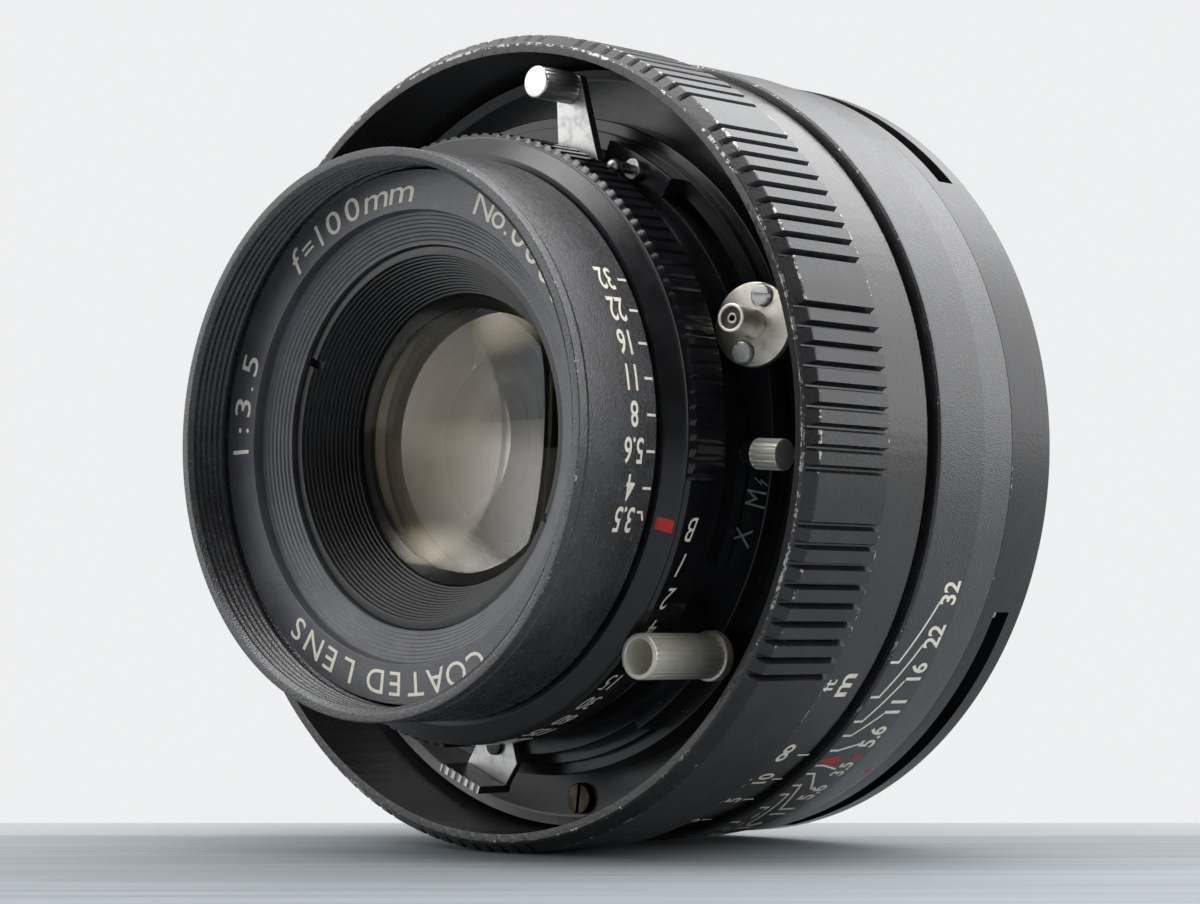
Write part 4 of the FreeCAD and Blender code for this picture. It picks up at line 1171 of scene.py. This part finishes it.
# ---------------------------------------------------------------- shutter front
@dataclass
class ShutterFront:
    """Cover, index ring, speed ring, case and front plate."""

    hub: float = 29.0
    cover_front: float = 22.4
    cover_rear: float = 24.4
    cover_mean: float = 31.0
    speed: Extent = Extent.of("speed_ring")
    scale_start: float = -95.0
    scale_end: float = -9.5
    knurl_pitch: float = FULL / 130
    first_speed: float = -18.4
    speed_pitch: float = 6.75
    outline: Tuple[Tuple[float, float], ...] = (
        (-62, 33.2), (12, 31.6), (24, 30.6), (52, 32.8), (69, 30.2), (92, 31.2), (135, 32.6),
        (215, 31.2), (250, 32.2))
    speeds: Tuple[str, ...] = ("B", "1", "2", "4", "8", "15", "30", "60", "125", "250", "500")

    def build(self) -> None:
        """Make every piece of the shutter's front."""
        self.cover()
        self.index()
        self.speed_ring()
        self.clip()
        self.case_and_plate()
        self.scales()

    def cover_radius(self, angle: float) -> float:
        """Outline of the cover at an angle."""
        turn = angle + FULL if angle < self.outline[0][0] else angle
        found = self.outline[-1][1]
        for start, radius in self.outline:
            if turn >= start:
                found = radius
        return found

    def cover(self) -> None:
        """Cover with its hub; the outline steps in and out."""
        front, rear, hub, mean = self.cover_front, self.cover_rear, self.hub, self.cover_mean
        profile = [(21.0, 16.0), (23.0, 16.0), (23.0, front), (27.6, front), (27.6, 11.2),
                   (28.0, 11.2), (28.0, 12.7), (hub, 12.7), (hub, 18.03), (hub - 0.55, 18.03),
                   (hub - 0.55, 18.67), (hub, 18.67), (hub, front), (29.9, front),
                   (mean, front, 0.2), (mean, rear, 0.08), (21.0, rear)]

        def adjust(r: float, y: float, angle: float) -> Tuple[float, float]:
            """Give the plate its stepped outline."""
            return (r + self.cover_radius(angle) - mean if r > 30.2 else r, y)

        breaks = [start + side for start, _ in self.outline for side in (-0.12, 0.12)]
        mesh = placed(revolve(profile, angles=columns(breaks, 2.0), adjust=adjust), on_axis())
        mesh = combined(mesh, wedge(24.8, 27.0, 21.9, 24.9, 99.5, 153.0), "DIFFERENCE")
        stud = placed(revolve([(0, -0.35), (1.0, -0.35, 0.12), (1.0, 0.0), (0.6, 0.0),
                               (0.6, 1.5), (0, 1.5)], 32, closed=False),
                      beside(31.4, -95.5, 20.95))
        piece("cover", joined([mesh, stud]), GLOSS, "carriage",
              ["shutter_cover"], 30.0)

    def index(self) -> None:
        """Bevelled ring with the red index, and the mark itself."""
        front, bevel, outer = 11.2, 1.62, 30.9
        profile = [(28.0, front), (self.hub, front, 0.08), (30.7, 12.25, 0.1),
                   (outer, 12.5, 0.06), (outer, 12.7, 0.04), (28.0, 12.7)]
        turned("bevelled_index_ring", profile, 256, GLOSS, "carriage", "gloss_black",
               "index_ring", 25.0)
        slope = Marks(Reading.TO_FRONT,
                      lambda depth: min(outer, self.hub + (depth - front) * bevel), 0.05)
        slope.line([(-17.75, 11.8), (-18.6, 11.8)], 0.9)
        slope.piece("red_index", RED, "carriage")

    def speed_ring(self) -> None:
        """Knurled ring with a smooth panel for its scale."""
        outer, bore, smooth = self.speed.radius, self.hub + 0.05, 31.0
        front, rear = self.speed.front, self.speed.rear
        profile = [(bore, front), (30.6, front, 0.05), (outer, front + 0.5, 0.06),
                   (outer, rear - 0.3), (outer - 0.3, rear), (bore, rear)]
        first = self.scale_end + 0.5 * self.knurl_pitch
        count = int((FULL + self.scale_start - self.scale_end) / self.knurl_pitch)
        marks = [first + i * self.knurl_pitch + off for i in range(count)
                 for off in (-0.72, -0.4, 0.0, 0.4, 0.72)]
        panel = (self.scale_start, self.scale_end)
        marks += [edge + side for edge in panel for side in (-0.1, 0.1)]

        def adjust(r: float, y: float, angle: float) -> Tuple[float, float]:
            """Sink the panel and the flutes."""
            if panel[0] - 0.05 < angle < panel[1] + 0.05:
                return (min(r, smooth), y)
            off = (angle - first + self.knurl_pitch / 2) % self.knurl_pitch
            off = abs(off - self.knurl_pitch / 2)
            inside = first - 0.8 < (angle if angle > panel[1] else angle + FULL)
            share = max(0.0, 1.0 - (off / 0.74) ** 2) if inside else 0.0
            return (min(r, outer - 0.30 * math.sqrt(share)), y)

        mesh = revolve(profile, angles=columns(marks, 3.0), adjust=adjust)
        piece("knurled_speed_ring", placed(mesh, on_axis()), RING_GLOSS, "speed",
              ["speed_ring"], 28.0)

    def clip(self) -> None:
        """Open wire ring in front of the cocking ring."""
        mesh = wedge(28.47, 29.7, 18.05, 18.65, 100, 440)
        edges = [e for e in mesh.edges if e.calc_length() > 0]
        bmesh.ops.bevel(mesh, geom=[e for e in edges if len(e.link_faces) == 2
                                    and e.calc_face_angle(0) > 1.0],
                        offset=0.12, segments=2, profile=0.5, affect="EDGES", material=-1)
        piece("wire_clip", mesh, DARK_STEEL, "carriage", ["speed_ring_clip"])

    def case_and_plate(self) -> None:
        """Rim of the shutter case and the plate around it."""
        case = [(31.5, 24.41), (33.2, 24.41, 0.12), (33.2, 25.3, 0.05), (34.4, 25.3, 0.16),
                (34.4, 29.0), (33.4, 29.0), (33.4, 36.0, 0.2), (16.5, 36.0), (16.5, 34.8),
                (31.5, 34.8)]
        turned("case_shell", case, 224, GLOSS, "carriage", "gloss_black", "shutter_case",
               30.0)
        plate = [(33.5, 29.0), (38.75, 29.0, 0.15), (39.75, 28.5, 0.1), (39.75, 30.2),
                 (33.5, 30.2)]
        turned("bowl_plate", plate, 224, BOWL, "carriage", "gloss_black", "front_plate", 30.0)
        screws = [screw((1.62, 0.7, 0.42, 0.42), (0.9, 2.9, 0.1, 24), 0.05,
                        beside(36.9, -87.0 + i * THIRD, 29.0) @ turn_about(10.0))
                  for i in range(3)]
        piece("plate_screw_set", joined(screws), SHADED_SCREW, "carriage",
              ["plate_screws"])

    def scales(self) -> None:
        """Shutter speeds, and the flash letters on the cover."""
        marks = Marks(Reading.TO_FRONT, 31.0)
        for i, text in enumerate(self.speeds):
            angle = self.first_speed - self.speed_pitch * i
            marks.word(text, angle, 14.9, 2.4, 0.56 if len(text) > 1 else 0.66, -0.004, 0.3)
        marks.piece("speed_scale", CREAM, "speed", "gloss_black")
        letters = Marks(Reading.INWARD, self.cover_front)
        letters.word("M", -12.0, 31.75, 2.5, 0.66, -0.008)
        letters.word("X", -19.2, 31.0, 2.3, 0.8, -0.008)
        letters.line([(-9.4, 32.9), (-8.6, 32.1), (-9.4, 32.2), (-8.4, 31.3)], 0.12)
        letters.piece("flash_letters", GREY, "carriage", "gloss_black")


# ---------------------------------------------------------------- levers, knobs, terminal
@dataclass
class Controls:
    """Cocking lever, release lever, flash slider, cable socket and stop pin."""

    knob_place: Tuple[float, float, float] = (37.0, 76.0, 14.4)
    knob_radius: float = 1.65
    knob_length: float = 5.0
    socket_place: Tuple[float, float, float] = (33.72, -40.5, 11.3)
    socket_radius: float = 2.25
    slider_place: Tuple[float, float, float] = (32.9, -4.1, 20.7)
    slider_radius: float = 1.55

    def build(self) -> None:
        """Make every control."""
        self.cocking()
        self.release()
        self.slider()
        self.socket()
        self.stop()

    def cocking(self) -> None:
        """Ring on the hub, its arm and the fluted knob."""
        ring = wedge(29.05, 30.0, 19.4, 20.4, 38, 305, 0.08)
        corners = [(29.5, 63.0), (38.4, 74.2), (38.6, 76.0), (35.6, 78.4), (29.5, 75.4)]
        arm = slab([spot(r, a, 0) for r, a in corners], 19.4, 20.4, 0.12)
        piece("cocking_arm", combined(ring, arm, "UNION"), STEEL, "cocking",
              ["cocking_lever"])
        knob = fluted_bar(self.knob_radius, self.knob_length, 20, 0.16, 0.22)
        rivet = placed(bar(0.7, 1.25, 0.1, 24), Matrix.Translation((0, self.knob_length, 0)))
        piece("cocking_knob_fluted", placed(joined([knob, rivet]), beside(*self.knob_place)),
              SILVER, "cocking", ["cocking_knob"])

    def release(self) -> None:
        """Bent lever with a serrated finger tab."""
        corners = [(30.4, -99.5), (30.3, -91.5), (33.1, -90.0), (35.4, -92.6), (33.9, -102.2)]
        blade = slab([spot(r, a, 0) for r, a in corners], 21.1, 21.9, 0.1)
        first, last = spot(*corners[3], 17.3), spot(*corners[4], 17.3)
        along = (last - first) / 6
        away = (last - first).cross(Vector((0, 1, 0))).normalized() * 0.8
        back = Vector((0, 4.6, 0))
        mesh = bmesh.new()
        points = []
        for i in range(6):
            foot = first + along * i
            for share, sink in ((0.0, 0.0), (0.22, 0.0), (0.34, 0.2), (0.5, 0.27), (0.66, 0.2),
                                (0.78, 0.0)):
                points.append(foot + along * share + Vector((0, sink, 0)))
        points += [last, last + back, first + back]
        face = mesh.faces.new([mesh.verts.new(p) for p in points])
        grown = bmesh.ops.extrude_face_region(mesh, geom=[face])
        moved = [v for v in grown["geom"] if isinstance(v, bmesh.types.BMVert)]
        bmesh.ops.translate(mesh, vec=away, verts=moved)
        bmesh.ops.recalc_face_normals(mesh, faces=mesh.faces)
        hole = placed(bar(0.64, 2.0, 0.0, 32), beside(31.4, -95.5, 20.5))
        lever = combined(combined(blade, mesh, "UNION"), hole, "DIFFERENCE")
        piece("release_lever_bent", lever, STEEL, "release", ["release_lever"], 30.0)

    def slider(self) -> None:
        """Arc slider, its stem and the small fluted knob."""
        radius, angle, depth = self.slider_place
        arc = wedge(29.05, 30.3, 20.75, 22.2, -26, 4, 0.1)
        stem = placed(bar(0.56, 3.1, 0.0, 24), outward(29.8, angle, 21.0))
        collar = placed(fluted_bar(1.25, 1.6, 14, 0.14, 0.12), outward(31.25, angle, 21.0))
        piece("flash_slider", joined([arc, stem, collar]), GLOSS, "sync_switch",
              ["sync_lever"])
        knob = fluted_bar(self.slider_radius, 3.3, 16, 0.16, 0.18)
        piece("flash_slider_knob", placed(knob, outward(radius, angle, depth)), WORN_NICKEL,
              "sync_switch", ["sync_knob"])

    def socket(self) -> None:
        """Fluted cable-release socket with a tapered hole."""
        radius = self.socket_radius
        pitch = FULL / 26
        marks = [i * pitch + step * pitch for i in range(26) for step in (-0.3, -0.12, 0.12, 0.3)]

        def adjust(r: float, y: float, angle: float) -> Tuple[float, float]:
            """Sink the flutes between the plain ends."""
            off = abs((angle + pitch / 2) % pitch - pitch / 2) / pitch
            sunk = off < 0.2 and 0.6 < y < 10.15 and abs(r - radius) < 0.02
            return (r - 0.18 if sunk else r, y)

        inner = [(0, 3.4), (0.9, 3.2), (1.74, 0.0, 0.08), (radius, 0.0, 0.18), (radius, 0.62),
                 (radius, 10.1), (radius + 0.25, 10.2, 0.08), (radius + 0.25, 11.1), (0, 11.1)]
        mesh = revolve(inner, closed=False, angles=columns(marks, pitch), adjust=adjust)
        piece("cable_socket_fluted", placed(mesh, beside(*self.socket_place)), WORN_NICKEL,
              "carriage", ["cable_socket"])

    def stop(self) -> None:
        """Round-headed stop pin."""
        ball = [(0.75 * math.sin(math.radians(15 * i)), -0.75 * math.cos(math.radians(15 * i)))
                for i in range(10)]
        profile = ball + [(0.55, 0.6), (0.55, 2.6), (1.1, 2.6, 0.12), (1.1, 3.5), (0, 3.5)]
        piece("round_stop_pin", placed(revolve(profile, 40, closed=False),
                                       beside(31.3, 60.2, 18.9)),
              STEEL, "carriage", ["stop_pin"])


@dataclass
class FlashTerminal:
    """Disc with a coaxial socket and two slotted screws."""

    place: Tuple[float, float, float] = (33.5, 17.9, 21.0)
    tilt: float = 11.0
    holes: Tuple[Tuple[float, float], ...] = ((1.75, 2.35), (-1.75, -2.35))

    def build(self) -> None:
        """Make the terminal's pieces."""
        spotted = beside(*self.place) @ Matrix.Rotation(math.radians(self.tilt), 4, "Z")
        disc = revolve([(1.47, 0), (4.2, 0, 0.15), (4.2, 0.8, 0.1), (1.47, 0.8)], 96)
        for x, z in self.holes:
            seat = placed(bar(1.24, 0.6, 0.0, 40), Matrix.Translation((x, -0.25, z)))
            disc = combined(disc, seat, "DIFFERENCE")
        piece("terminal_disc", placed(disc, spotted), NICKEL, "carriage",
              ["terminal_plate"])
        sleeve = revolve([(1.1, -4.4, 0.08), (1.45, -4.4, 0.12), (1.45, 1.6), (1.1, 1.6)], 56)
        piece("terminal_shell", placed(sleeve, spotted), NICKEL, "carriage",
              ["terminal_sleeve"])
        tube = revolve([(0.55, -3.9), (1.1, -3.9), (1.1, 1.6), (0.55, 1.6)], 40)
        piece("terminal_tube", placed(tube, spotted), TUBE, "carriage",
              ["terminal_insulator"])
        pin = revolve([(0, -2.0), (0.3, -2.0), (0.3, -4.1, 0.04), (0.55, -4.1, 0.08),
                       (0.55, 1.6), (0, 1.6)], 32, closed=False)
        piece("terminal_core", placed(pin, spotted), STEEL, "carriage",
              ["terminal_contact"])
        screws = [screw((1.05, 0.55, 0.36, 0.34), (0.58, 1.3, 0.05, 20), 0.0,
                        spotted @ Matrix.Translation((x, 0, z)) @ turn_about(25.0 + 50.0 * i))
                  for i, (x, z) in enumerate(self.holes)]
        piece("terminal_screw_pair", joined(screws), SCREW_STEEL, "carriage",
              ["terminal_screws"])


# ---------------------------------------------------------------- focusing ring
@dataclass
class FocusRing:
    """Bowl-shaped ring with groups of milled ridges and the distance scale."""

    front: float = Extent.of("focus_ring").front
    rear: float = Extent.of("focus_ring").rear
    crest: float = Extent.of("focus_ring").radius
    bore: float = 40.1
    band: float = 41.0
    floor: float = 41.25
    grip_start: float = 18.7
    grip_end: float = 29.4
    groups: int = 11
    group_pitch: float = 29.0
    first: float = -13.1
    flutes: int = 9
    pitch: float = 2.7
    infinity: float = -51.2
    metres: Tuple[Tuple[str, float], ...] = (
        ("10", 6.06), ("5", 12.24), ("3", 20.7), ("2", 31.6), ("1.5", 42.9), ("1.2", 54.5),
        ("1", 66.7))
    feet: Tuple[Tuple[str, float], ...] = (
        ("30", 6.6), ("15", 13.4), ("10", 20.35), ("7", 29.5), ("5", 42.1), ("4", 53.6),
        ("3.5", 62.1))

    def build(self) -> None:
        """Make the ring and its scale."""
        centres = [self.first + g * self.group_pitch - i * self.pitch
                   for g in range(self.groups) for i in range(self.flutes)]
        wrapped = sorted((c + 180.0) % FULL - 180.0 for c in centres)
        profile = [(self.bore, self.front + 0.05, 0.05), (self.band, self.front, 0.12),
                   (self.floor, self.front + 0.32), (self.crest, self.grip_start, 0.16),
                   (self.crest, self.grip_end, 0.08), (self.floor, self.grip_end + 0.27),
                   (self.band, self.grip_end + 0.36, 0.04), (self.band, self.rear, 0.4),
                   (38.42, self.rear), (38.42, self.rear - 2.4), (self.bore, self.rear - 2.4)]
        marks = [c + off for c in centres for off in (-0.52, -0.12, 0.12, 0.52)]

        def adjust(r: float, y: float, angle: float) -> Tuple[float, float]:
            """Sink the flutes to their floor."""
            near = min(abs(angle - c) for c in wrapped)
            return (self.floor if r > self.floor and near < 0.16 else r, y)

        mesh = placed(revolve(profile, angles=columns(marks, 2.0), adjust=adjust), on_axis())
        piece("grip_ring", mesh, GRIP, "focusing", ["focus_ring"], 26.0)
        self.scale()

    def scale(self) -> None:
        """Distances in metres, with feet in front of them."""
        marks = Marks(Reading.AROUND, self.band)
        start = self.infinity
        marks.word("m", start + 13.9, 34.4, 1.8, 1.15, 0.02)
        marks.word("ft", start + 13.9, 31.7, 1.8, 1.0, 0.008)
        marks.word("oo", start + 0.6, 33.0, 1.5, 0.95, 0.03, 0.0, 0.86)
        marks.line([(start, 35.4), (start, 37.0)], 0.22)
        for text, turn in self.metres:
            marks.word(text, start - turn, 34.0, 2.2, 0.8, 0.014)
            marks.line([(start - turn, 35.6), (start - turn, 37.0)], 0.2)
        for text, turn in self.feet:
            marks.word(text, start - turn, 31.1, 2.0, 0.72, 0.008)
        marks.piece("distance_scale", CREAM, "focusing", "gloss_black")


# ---------------------------------------------------------------- mount
@dataclass
class Mount:
    """Fixed barrel with the depth-of-field scale, breech flange, screws and dowel."""

    barrel: Extent = Extent.of("fixed_barrel")
    flange: Extent = Extent.of("mount_flange")
    seat: float = LENGTH
    band_end: float = 45.4
    bore: float = 38.45
    groove_start: float = 42.0
    groove_span: float = 53.0
    groove_front: float = 52.9
    cam_slot: Tuple[float, float] = (147.0, 249.7)
    taper: float = 0.0707
    screw_radius: float = 40.1
    screw_angle: float = 8.5
    centre: float = -51.3
    stops: Tuple[Tuple[str, float, float], ...] = (
        ("32", -22.0, -32.7), ("22", -28.6, -38.6), ("16", -34.6, -43.1), ("11", -40.5, -45.9),
        ("5.6", -46.4, -49.0), ("5.6", -60.0, -54.4), ("11", -66.3, -57.4),
        ("16", -73.0, -60.0), ("22", -79.6, -64.2), ("32", -86.0, -70.0))

    def build(self) -> None:
        """Make the mount's pieces."""
        r = self.barrel.radius
        profile = [(self.bore, 37.9), (r, 37.9, 0.55), (r, self.band_end, 0.1),
                   (r - 0.38, 50.7, 0.1), (39.2, 50.7), (39.2, 50.0),
                   (self.bore, 50.0)]
        turned("scale_barrel", profile, 256, SCALE_PAINT, "mount", "satin_black",
               "fixed_barrel", 12.0)
        self.breech()
        self.fasteners()
        self.scale()

    def breech(self) -> None:
        """Flange with three grooves, screw seats, the cam's slot and the spigot."""
        r, seat, end = self.flange.radius, self.seat, self.flange.rear
        start, span = self.groove_start, self.groove_span
        profile = [(40.3, 50.72), (r, 50.72, 0.1), (r, self.groove_front),
                   (r, seat - 2.2), (r, seat, 0.35), (33.0, seat), (33.0, end, 0.4),
                   (30.5, end), (30.5, 54.0), (38.45, 54.0), (38.45, 51.9), (39.3, 50.72)]
        mesh = placed(revolve(profile, 240), on_axis())
        for i in range(3):
            turn = start + i * THIRD
            groove = wedge(39.2, r + 2, self.groove_front, seat - 2.2, turn, turn + span)
            mesh = combined(mesh, groove, "DIFFERENCE")
            head = placed(bar(1.17, 3.0, 0.0, 32),
                          beside(self.screw_radius, self.screw_angle + i * THIRD, seat - 1.0))
            mesh = combined(mesh, head, "DIFFERENCE")
        cam = wedge(36.5, 38.44, 53.0, seat + 1, *self.cam_slot)
        mesh = combined(mesh, cam, "DIFFERENCE")
        piece("breech_flange", mesh, FLANGE, "mount", ["mount_flange"], 26.0)

        tab = slab([spot(40.9, -23.6, 0), spot(41.39, -23.2, 0), spot(41.39, -25.8, 0),
                    spot(40.6, -27.2, 0), spot(40.3, -26.4, 0)], 52.3, 53.3, 0.12)
        piece("flange_groove_tab", tab, STEEL, "mount")

    def fasteners(self) -> None:
        """Flange screws and the dowel."""
        flip = Matrix.Rotation(math.pi, 4, "X")
        screws = [screw((1.12, 0.85, 0.3, 0.35), (0.65, 10.2, 0.1, 20), 0.05,
                        beside(self.screw_radius, self.screw_angle + i * THIRD,
                               self.seat - 1.0) @ flip @ Matrix.Rotation(0.7 * i, 4, "Y"))
                  for i in range(3)]
        piece("flange_screws", joined(screws), STEEL, "mount", ["mount_screws"])
        dowel = placed(bar(1.2, 4.5, 0.25, 40), beside(36.6, 90.0, self.seat - 2.5))
        piece("seat_dowel", dowel, STEEL, "mount", ["locating_pin"])

    def radius(self, depth: float) -> float:
        """Outside radius of the fixed barrel at a depth."""
        r = self.barrel.radius
        return r if depth < self.band_end else r - (depth - self.band_end) * self.taper

    def scale(self) -> None:
        """Depth-of-field scale: numbers, ticks and leader lines on both sides."""
        white = Marks(Reading.AROUND, self.radius)
        red = Marks(Reading.AROUND, self.radius)
        for text, number, tick in self.stops:
            side = 1.0 if number > self.centre else -1.0
            white.word(text, number, 43.6, 2.5, 0.8, 0.02)
            white.line([(number - side * 1.4, 42.3), (tick, 39.7), (tick, 38.5)], 0.28)
        white.word("3.5", -53.6, 43.6, 2.1, 0.72, 0.016)
        white.line([(-53.4, 42.3), (-52.4, 39.7), (-52.4, 38.5)], 0.26)
        red.line([(self.centre, 38.5), (self.centre, 41.6)], 0.24)
        red.line([(self.centre - 0.7, 40.9), (self.centre, 38.7), (self.centre + 0.7, 40.9),
                  (self.centre - 0.7, 40.9)], 0.34)
        red.word("R", -50.6, 43.9, 1.5, 0.8, 0.012)
        red.dot(-55.1, 49.4, 0.42)
        white.piece("depth_scale", CREAM, "mount")
        red.piece("depth_scale_red", RED, "mount")


# ---------------------------------------------------------------- inside and rear
@dataclass
class Interior:
    """Cells, hood and retaining rings that show through the glass and from behind."""

    def build(self) -> None:
        """Make the turned pieces around the glass."""
        self.ring("front_cell_barrel", "front_cell", [
            (19.32, 7.95), (26.25, 7.95), (27.05, 7.95, 0.1), (27.05, 9.6), (24.3, 9.6),
            (24.3, 15.9), (20.95, 15.9), (20.95, 22.0), (12.62, 22.0), (12.62, 17.0),
            (15.62, 17.0), (15.62, 13.6), (19.32, 13.6)], MATT)
        self.ring("black_spacer", "cell_spacer", [
            (12.9, 15.02), (15.6, 14.93), (15.6, 17.0), (12.9, 17.0)], RIDGED)
        self.ring("rear_cell_barrel", "rear_cell", [
            (12.9, 33.2), (16.45, 33.2), (16.45, 36.0), (18.6, 36.0), (18.6, 37.4, 0.15),
            (17.0, 37.4), (17.0, 43.4, 0.4), (14.05, 43.4, 0.1), (14.05, 34.5),
            (12.9, 34.55)], SATIN)
        self.ring("rear_glass_ring", "rear_retaining_ring", [
            (13.0, 40.8), (14.03, 40.45), (14.03, 42.9), (13.0, 42.9, 0.2)], RIDGED)
        ribs: List[Tuple[float, ...]] = [(27.2, 36.02), (27.2, 49.0, 0.15), (26.2, 49.0, 0.1)]
        for i in range(9):
            depth = 48.6 - i * 1.3
            ribs += [(25.7, depth, 0.06), (26.2, depth - 1.2)]
        ribs += [(25.7, 36.9), (19.0, 36.9), (19.0, 36.02)]
        self.ring("ribbed_hood", "rear_hood", ribs, RIDGED)

    def ring(self, name: str, node: str, profile: Profile, finish: Maker) -> None:
        """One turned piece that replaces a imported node."""
        turned(name, profile, 160, finish, "carriage", "matt_black", node, 25.0)


GROUPS = (FrontBarrel, FrontRings, Optics, ShutterFront, Controls, FlashTerminal, FocusRing,
          Mount, Interior)


# ---------------------------------------------------------------- stage and main
@dataclass
class Stage:
    """Floor, light and camera."""

    floor_height: float = -0.0421
    far_line: float = 0.386
    table: Colour = (0.225, 0.25, 0.27)
    painted_far_light: Colour = (0.33, 0.345, 0.355)
    far_light_fade: Tuple[float, float] = (-0.09, -0.004)
    streak: float = 0.03
    ease: float = 0.004
    backdrop: Colour = (0.860, 0.865, 0.872)
    camera_place: Tuple[float, float, float] = (0.2303, -0.2747, -0.0200)
    forward: Tuple[float, float, float] = (-0.67511, 0.73546, 0.05759)
    lens_mm: float = 96.0
    table_size: Tuple[float, float, float] = (1.3, 2.4, 0.02)
    dark_side: Tuple[float, float, float] = (0.5, -0.8, 0.3)
    shade: float = 0.88
    shade_span: Tuple[float, float] = (0.5, 0.92)
    base_light: float = 0.34
    ground_light: float = 0.35
    horizon: Tuple[float, float] = (-0.08, 0.14)
    lamp_place: Tuple[float, float, float] = (0.05, 0.10, 0.75)
    lamp_size: float = 0.5
    lamp_power: float = 1.8
    lamp_aim: Tuple[float, float, float] = (0.0, -0.03, 0.0)
    lobes: Tuple[Tuple[Tuple[float, float, float], float, float, float], ...] = (
        ((0.55, 0.82, 0.12), 0.4, 0.97, 2.4), ((-0.1, 0.72, 0.68), 0.88, 0.98, 1.5),
        ((0.0, 0.1, 1.0), 0.35, 0.95, 1.9), ((-0.7, -0.7, -0.05), 0.6, 0.97, 2.2),
        ((-0.27, -0.58, 0.755), 0.93, 0.99, 6.0),
        ((0.98, -0.15, 0.1), 0.7, 0.97, 1.2))

    def build(self) -> None:
        """Make the floor, the world, the lights and the camera."""
        self.floor()
        self.world()
        self.light("top_light", self.lamp_place, self.lamp_size, self.lamp_power)
        self.camera()

    def floor(self) -> None:
        """Pale table top; its far edge lies behind the lens."""
        ahead = Vector((*self.forward[:2], 0)).normalized()
        long, wide, thick = self.table_size
        mesh = block((wide, long, thick), self.ease)
        turn = Matrix.Rotation(math.atan2(-ahead.x, ahead.y), 4, "Z")
        middle = Vector((*self.camera_place[:2], 0)) + ahead * (self.far_line - long / 2)
        middle.z = self.floor_height - thick / 2
        placed(mesh, Matrix.Translation(middle) @ turn)
        data = bpy.data.meshes.new("floor")
        mesh.to_mesh(data)
        mesh.free()
        data.materials.append(self.floor_material())
        thing = bpy.data.objects.new("floor", data)
        bpy.context.scene.collection.objects.link(thing)

    def floor_material(self) -> bpy.types.Material:
        """Pale blue-grey table, streaked along its far edge, with painted light that lightens it
        near that edge.
        """
        g = Graph("pale_floor")
        place = g.position()
        x, y, _ = g.axes(place)
        ahead = Vector(self.forward[:2]).normalized()
        along = g.vector((x * ahead.y - y * ahead.x) * self.streak, x * ahead.x + y * ahead.y, 0.0)
        grain = g.noise(along, 0.35, 4.0, 0.65)
        colour = g.mix(grain.rise(0.35, 0.68), self.table,
                       tuple(1.25 * part for part in self.table))
        edge = Vector(self.camera_place[:2]).dot(ahead) + self.far_line
        reach = x * ahead.x + y * ahead.y - edge
        # Painted light: the table's colour lightens to a brighter tone over the last few
        # centimetres before its far edge.
        colour = g.mix(reach.rise(*self.far_light_fade), colour, self.painted_far_light)
        return g.surface({"Base Color": colour, "Roughness": 0.55 + grain * 0.2,
                          "Specular IOR Level": 0.25, "Normal": g.bump(grain, 0.08)})

    def world(self) -> None:
        """Pale backdrop, and soft lights around the lens that leave the camera side dark."""
        g = Graph("pale_room", True)
        way = g.signal("ShaderNodeTexCoord", output="Generated")
        _, _, z = g.axes(way)
        strength: Value = self.base_light
        for aim, low, high, power in self.lobes:
            toward = g.signal("ShaderNodeVectorMath", {"operation": "DOT_PRODUCT"},
                              {0: way, 1: tuple(Vector(aim).normalized())}, "Value")
            strength = toward.rise(low, high) * power + strength
        facing = g.signal("ShaderNodeVectorMath", {"operation": "DOT_PRODUCT"},
                          {0: way, 1: tuple(Vector(self.dark_side).normalized())}, "Value")
        strength = strength * (1.0 - facing.rise(*self.shade_span) * self.shade)
        above = z.rise(*self.horizon) * (1.0 - self.ground_light)
        strength = strength * (self.ground_light + above)
        seen = g.signal("ShaderNodeLightPath", output="Is Camera Ray")
        strength = seen + (1.0 - seen) * strength
        shader = g.node("ShaderNodeBackground", None,
                        {"Color": self.backdrop, "Strength": strength})
        g.tree.links.new(shader.outputs[0], g.output.inputs[0])
        bpy.context.scene.world = g.owner

    def light(self, name: str, place: Tuple[float, float, float], size: float,
              power: float) -> None:
        """Soft square light aimed at the lens."""
        lamp = bpy.data.lights.new(name, "AREA")
        lamp.size = size
        lamp.energy = power
        thing = bpy.data.objects.new(name, lamp)
        thing.location = place
        aim = Vector(self.lamp_aim) - Vector(place)
        thing.rotation_euler = aim.to_track_quat("-Z", "Y").to_euler()
        thing.visible_transmission = False
        bpy.context.scene.collection.objects.link(thing)

    def camera(self) -> None:
        """Camera at the viewing angle of the work."""
        data = bpy.data.cameras.new("camera")
        data.lens = self.lens_mm
        data.sensor_width = 36.0
        data.clip_start = 0.01
        thing = bpy.data.objects.new("camera", data)
        ahead = Vector(self.forward).normalized()
        right = ahead.cross(Vector((0, 0, 1))).normalized()
        up = right.cross(ahead)
        turn = Matrix((right, up, -ahead)).transposed().to_4x4()
        thing.matrix_world = Matrix.Translation(self.camera_place) @ turn
        bpy.context.scene.collection.objects.link(thing)
        bpy.context.scene.camera = thing
        bpy.context.scene.view_settings.view_transform = "Standard"


def dress_nodes() -> None:
    """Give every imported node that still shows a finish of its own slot."""
    for name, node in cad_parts.items():
        if node.hide_render:
            continue
        finish = NODE_FINISHES.get(name, SATIN)
        if not node.material_slots:
            node.data.materials.append(dressed(finish))
        for entry in node.material_slots:
            entry.material = dressed(finish)
        LOG.info("%s keeps its packed shape", name)


def main() -> None:
    """Build the lens, its marks and the stage."""
    logging.basicConfig(level=logging.INFO, format="%(message)s")
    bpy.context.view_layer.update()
    for group in GROUPS:
        group().build()
    dress_nodes()
    Stage().build()


if __name__ == "__main__":
    main()
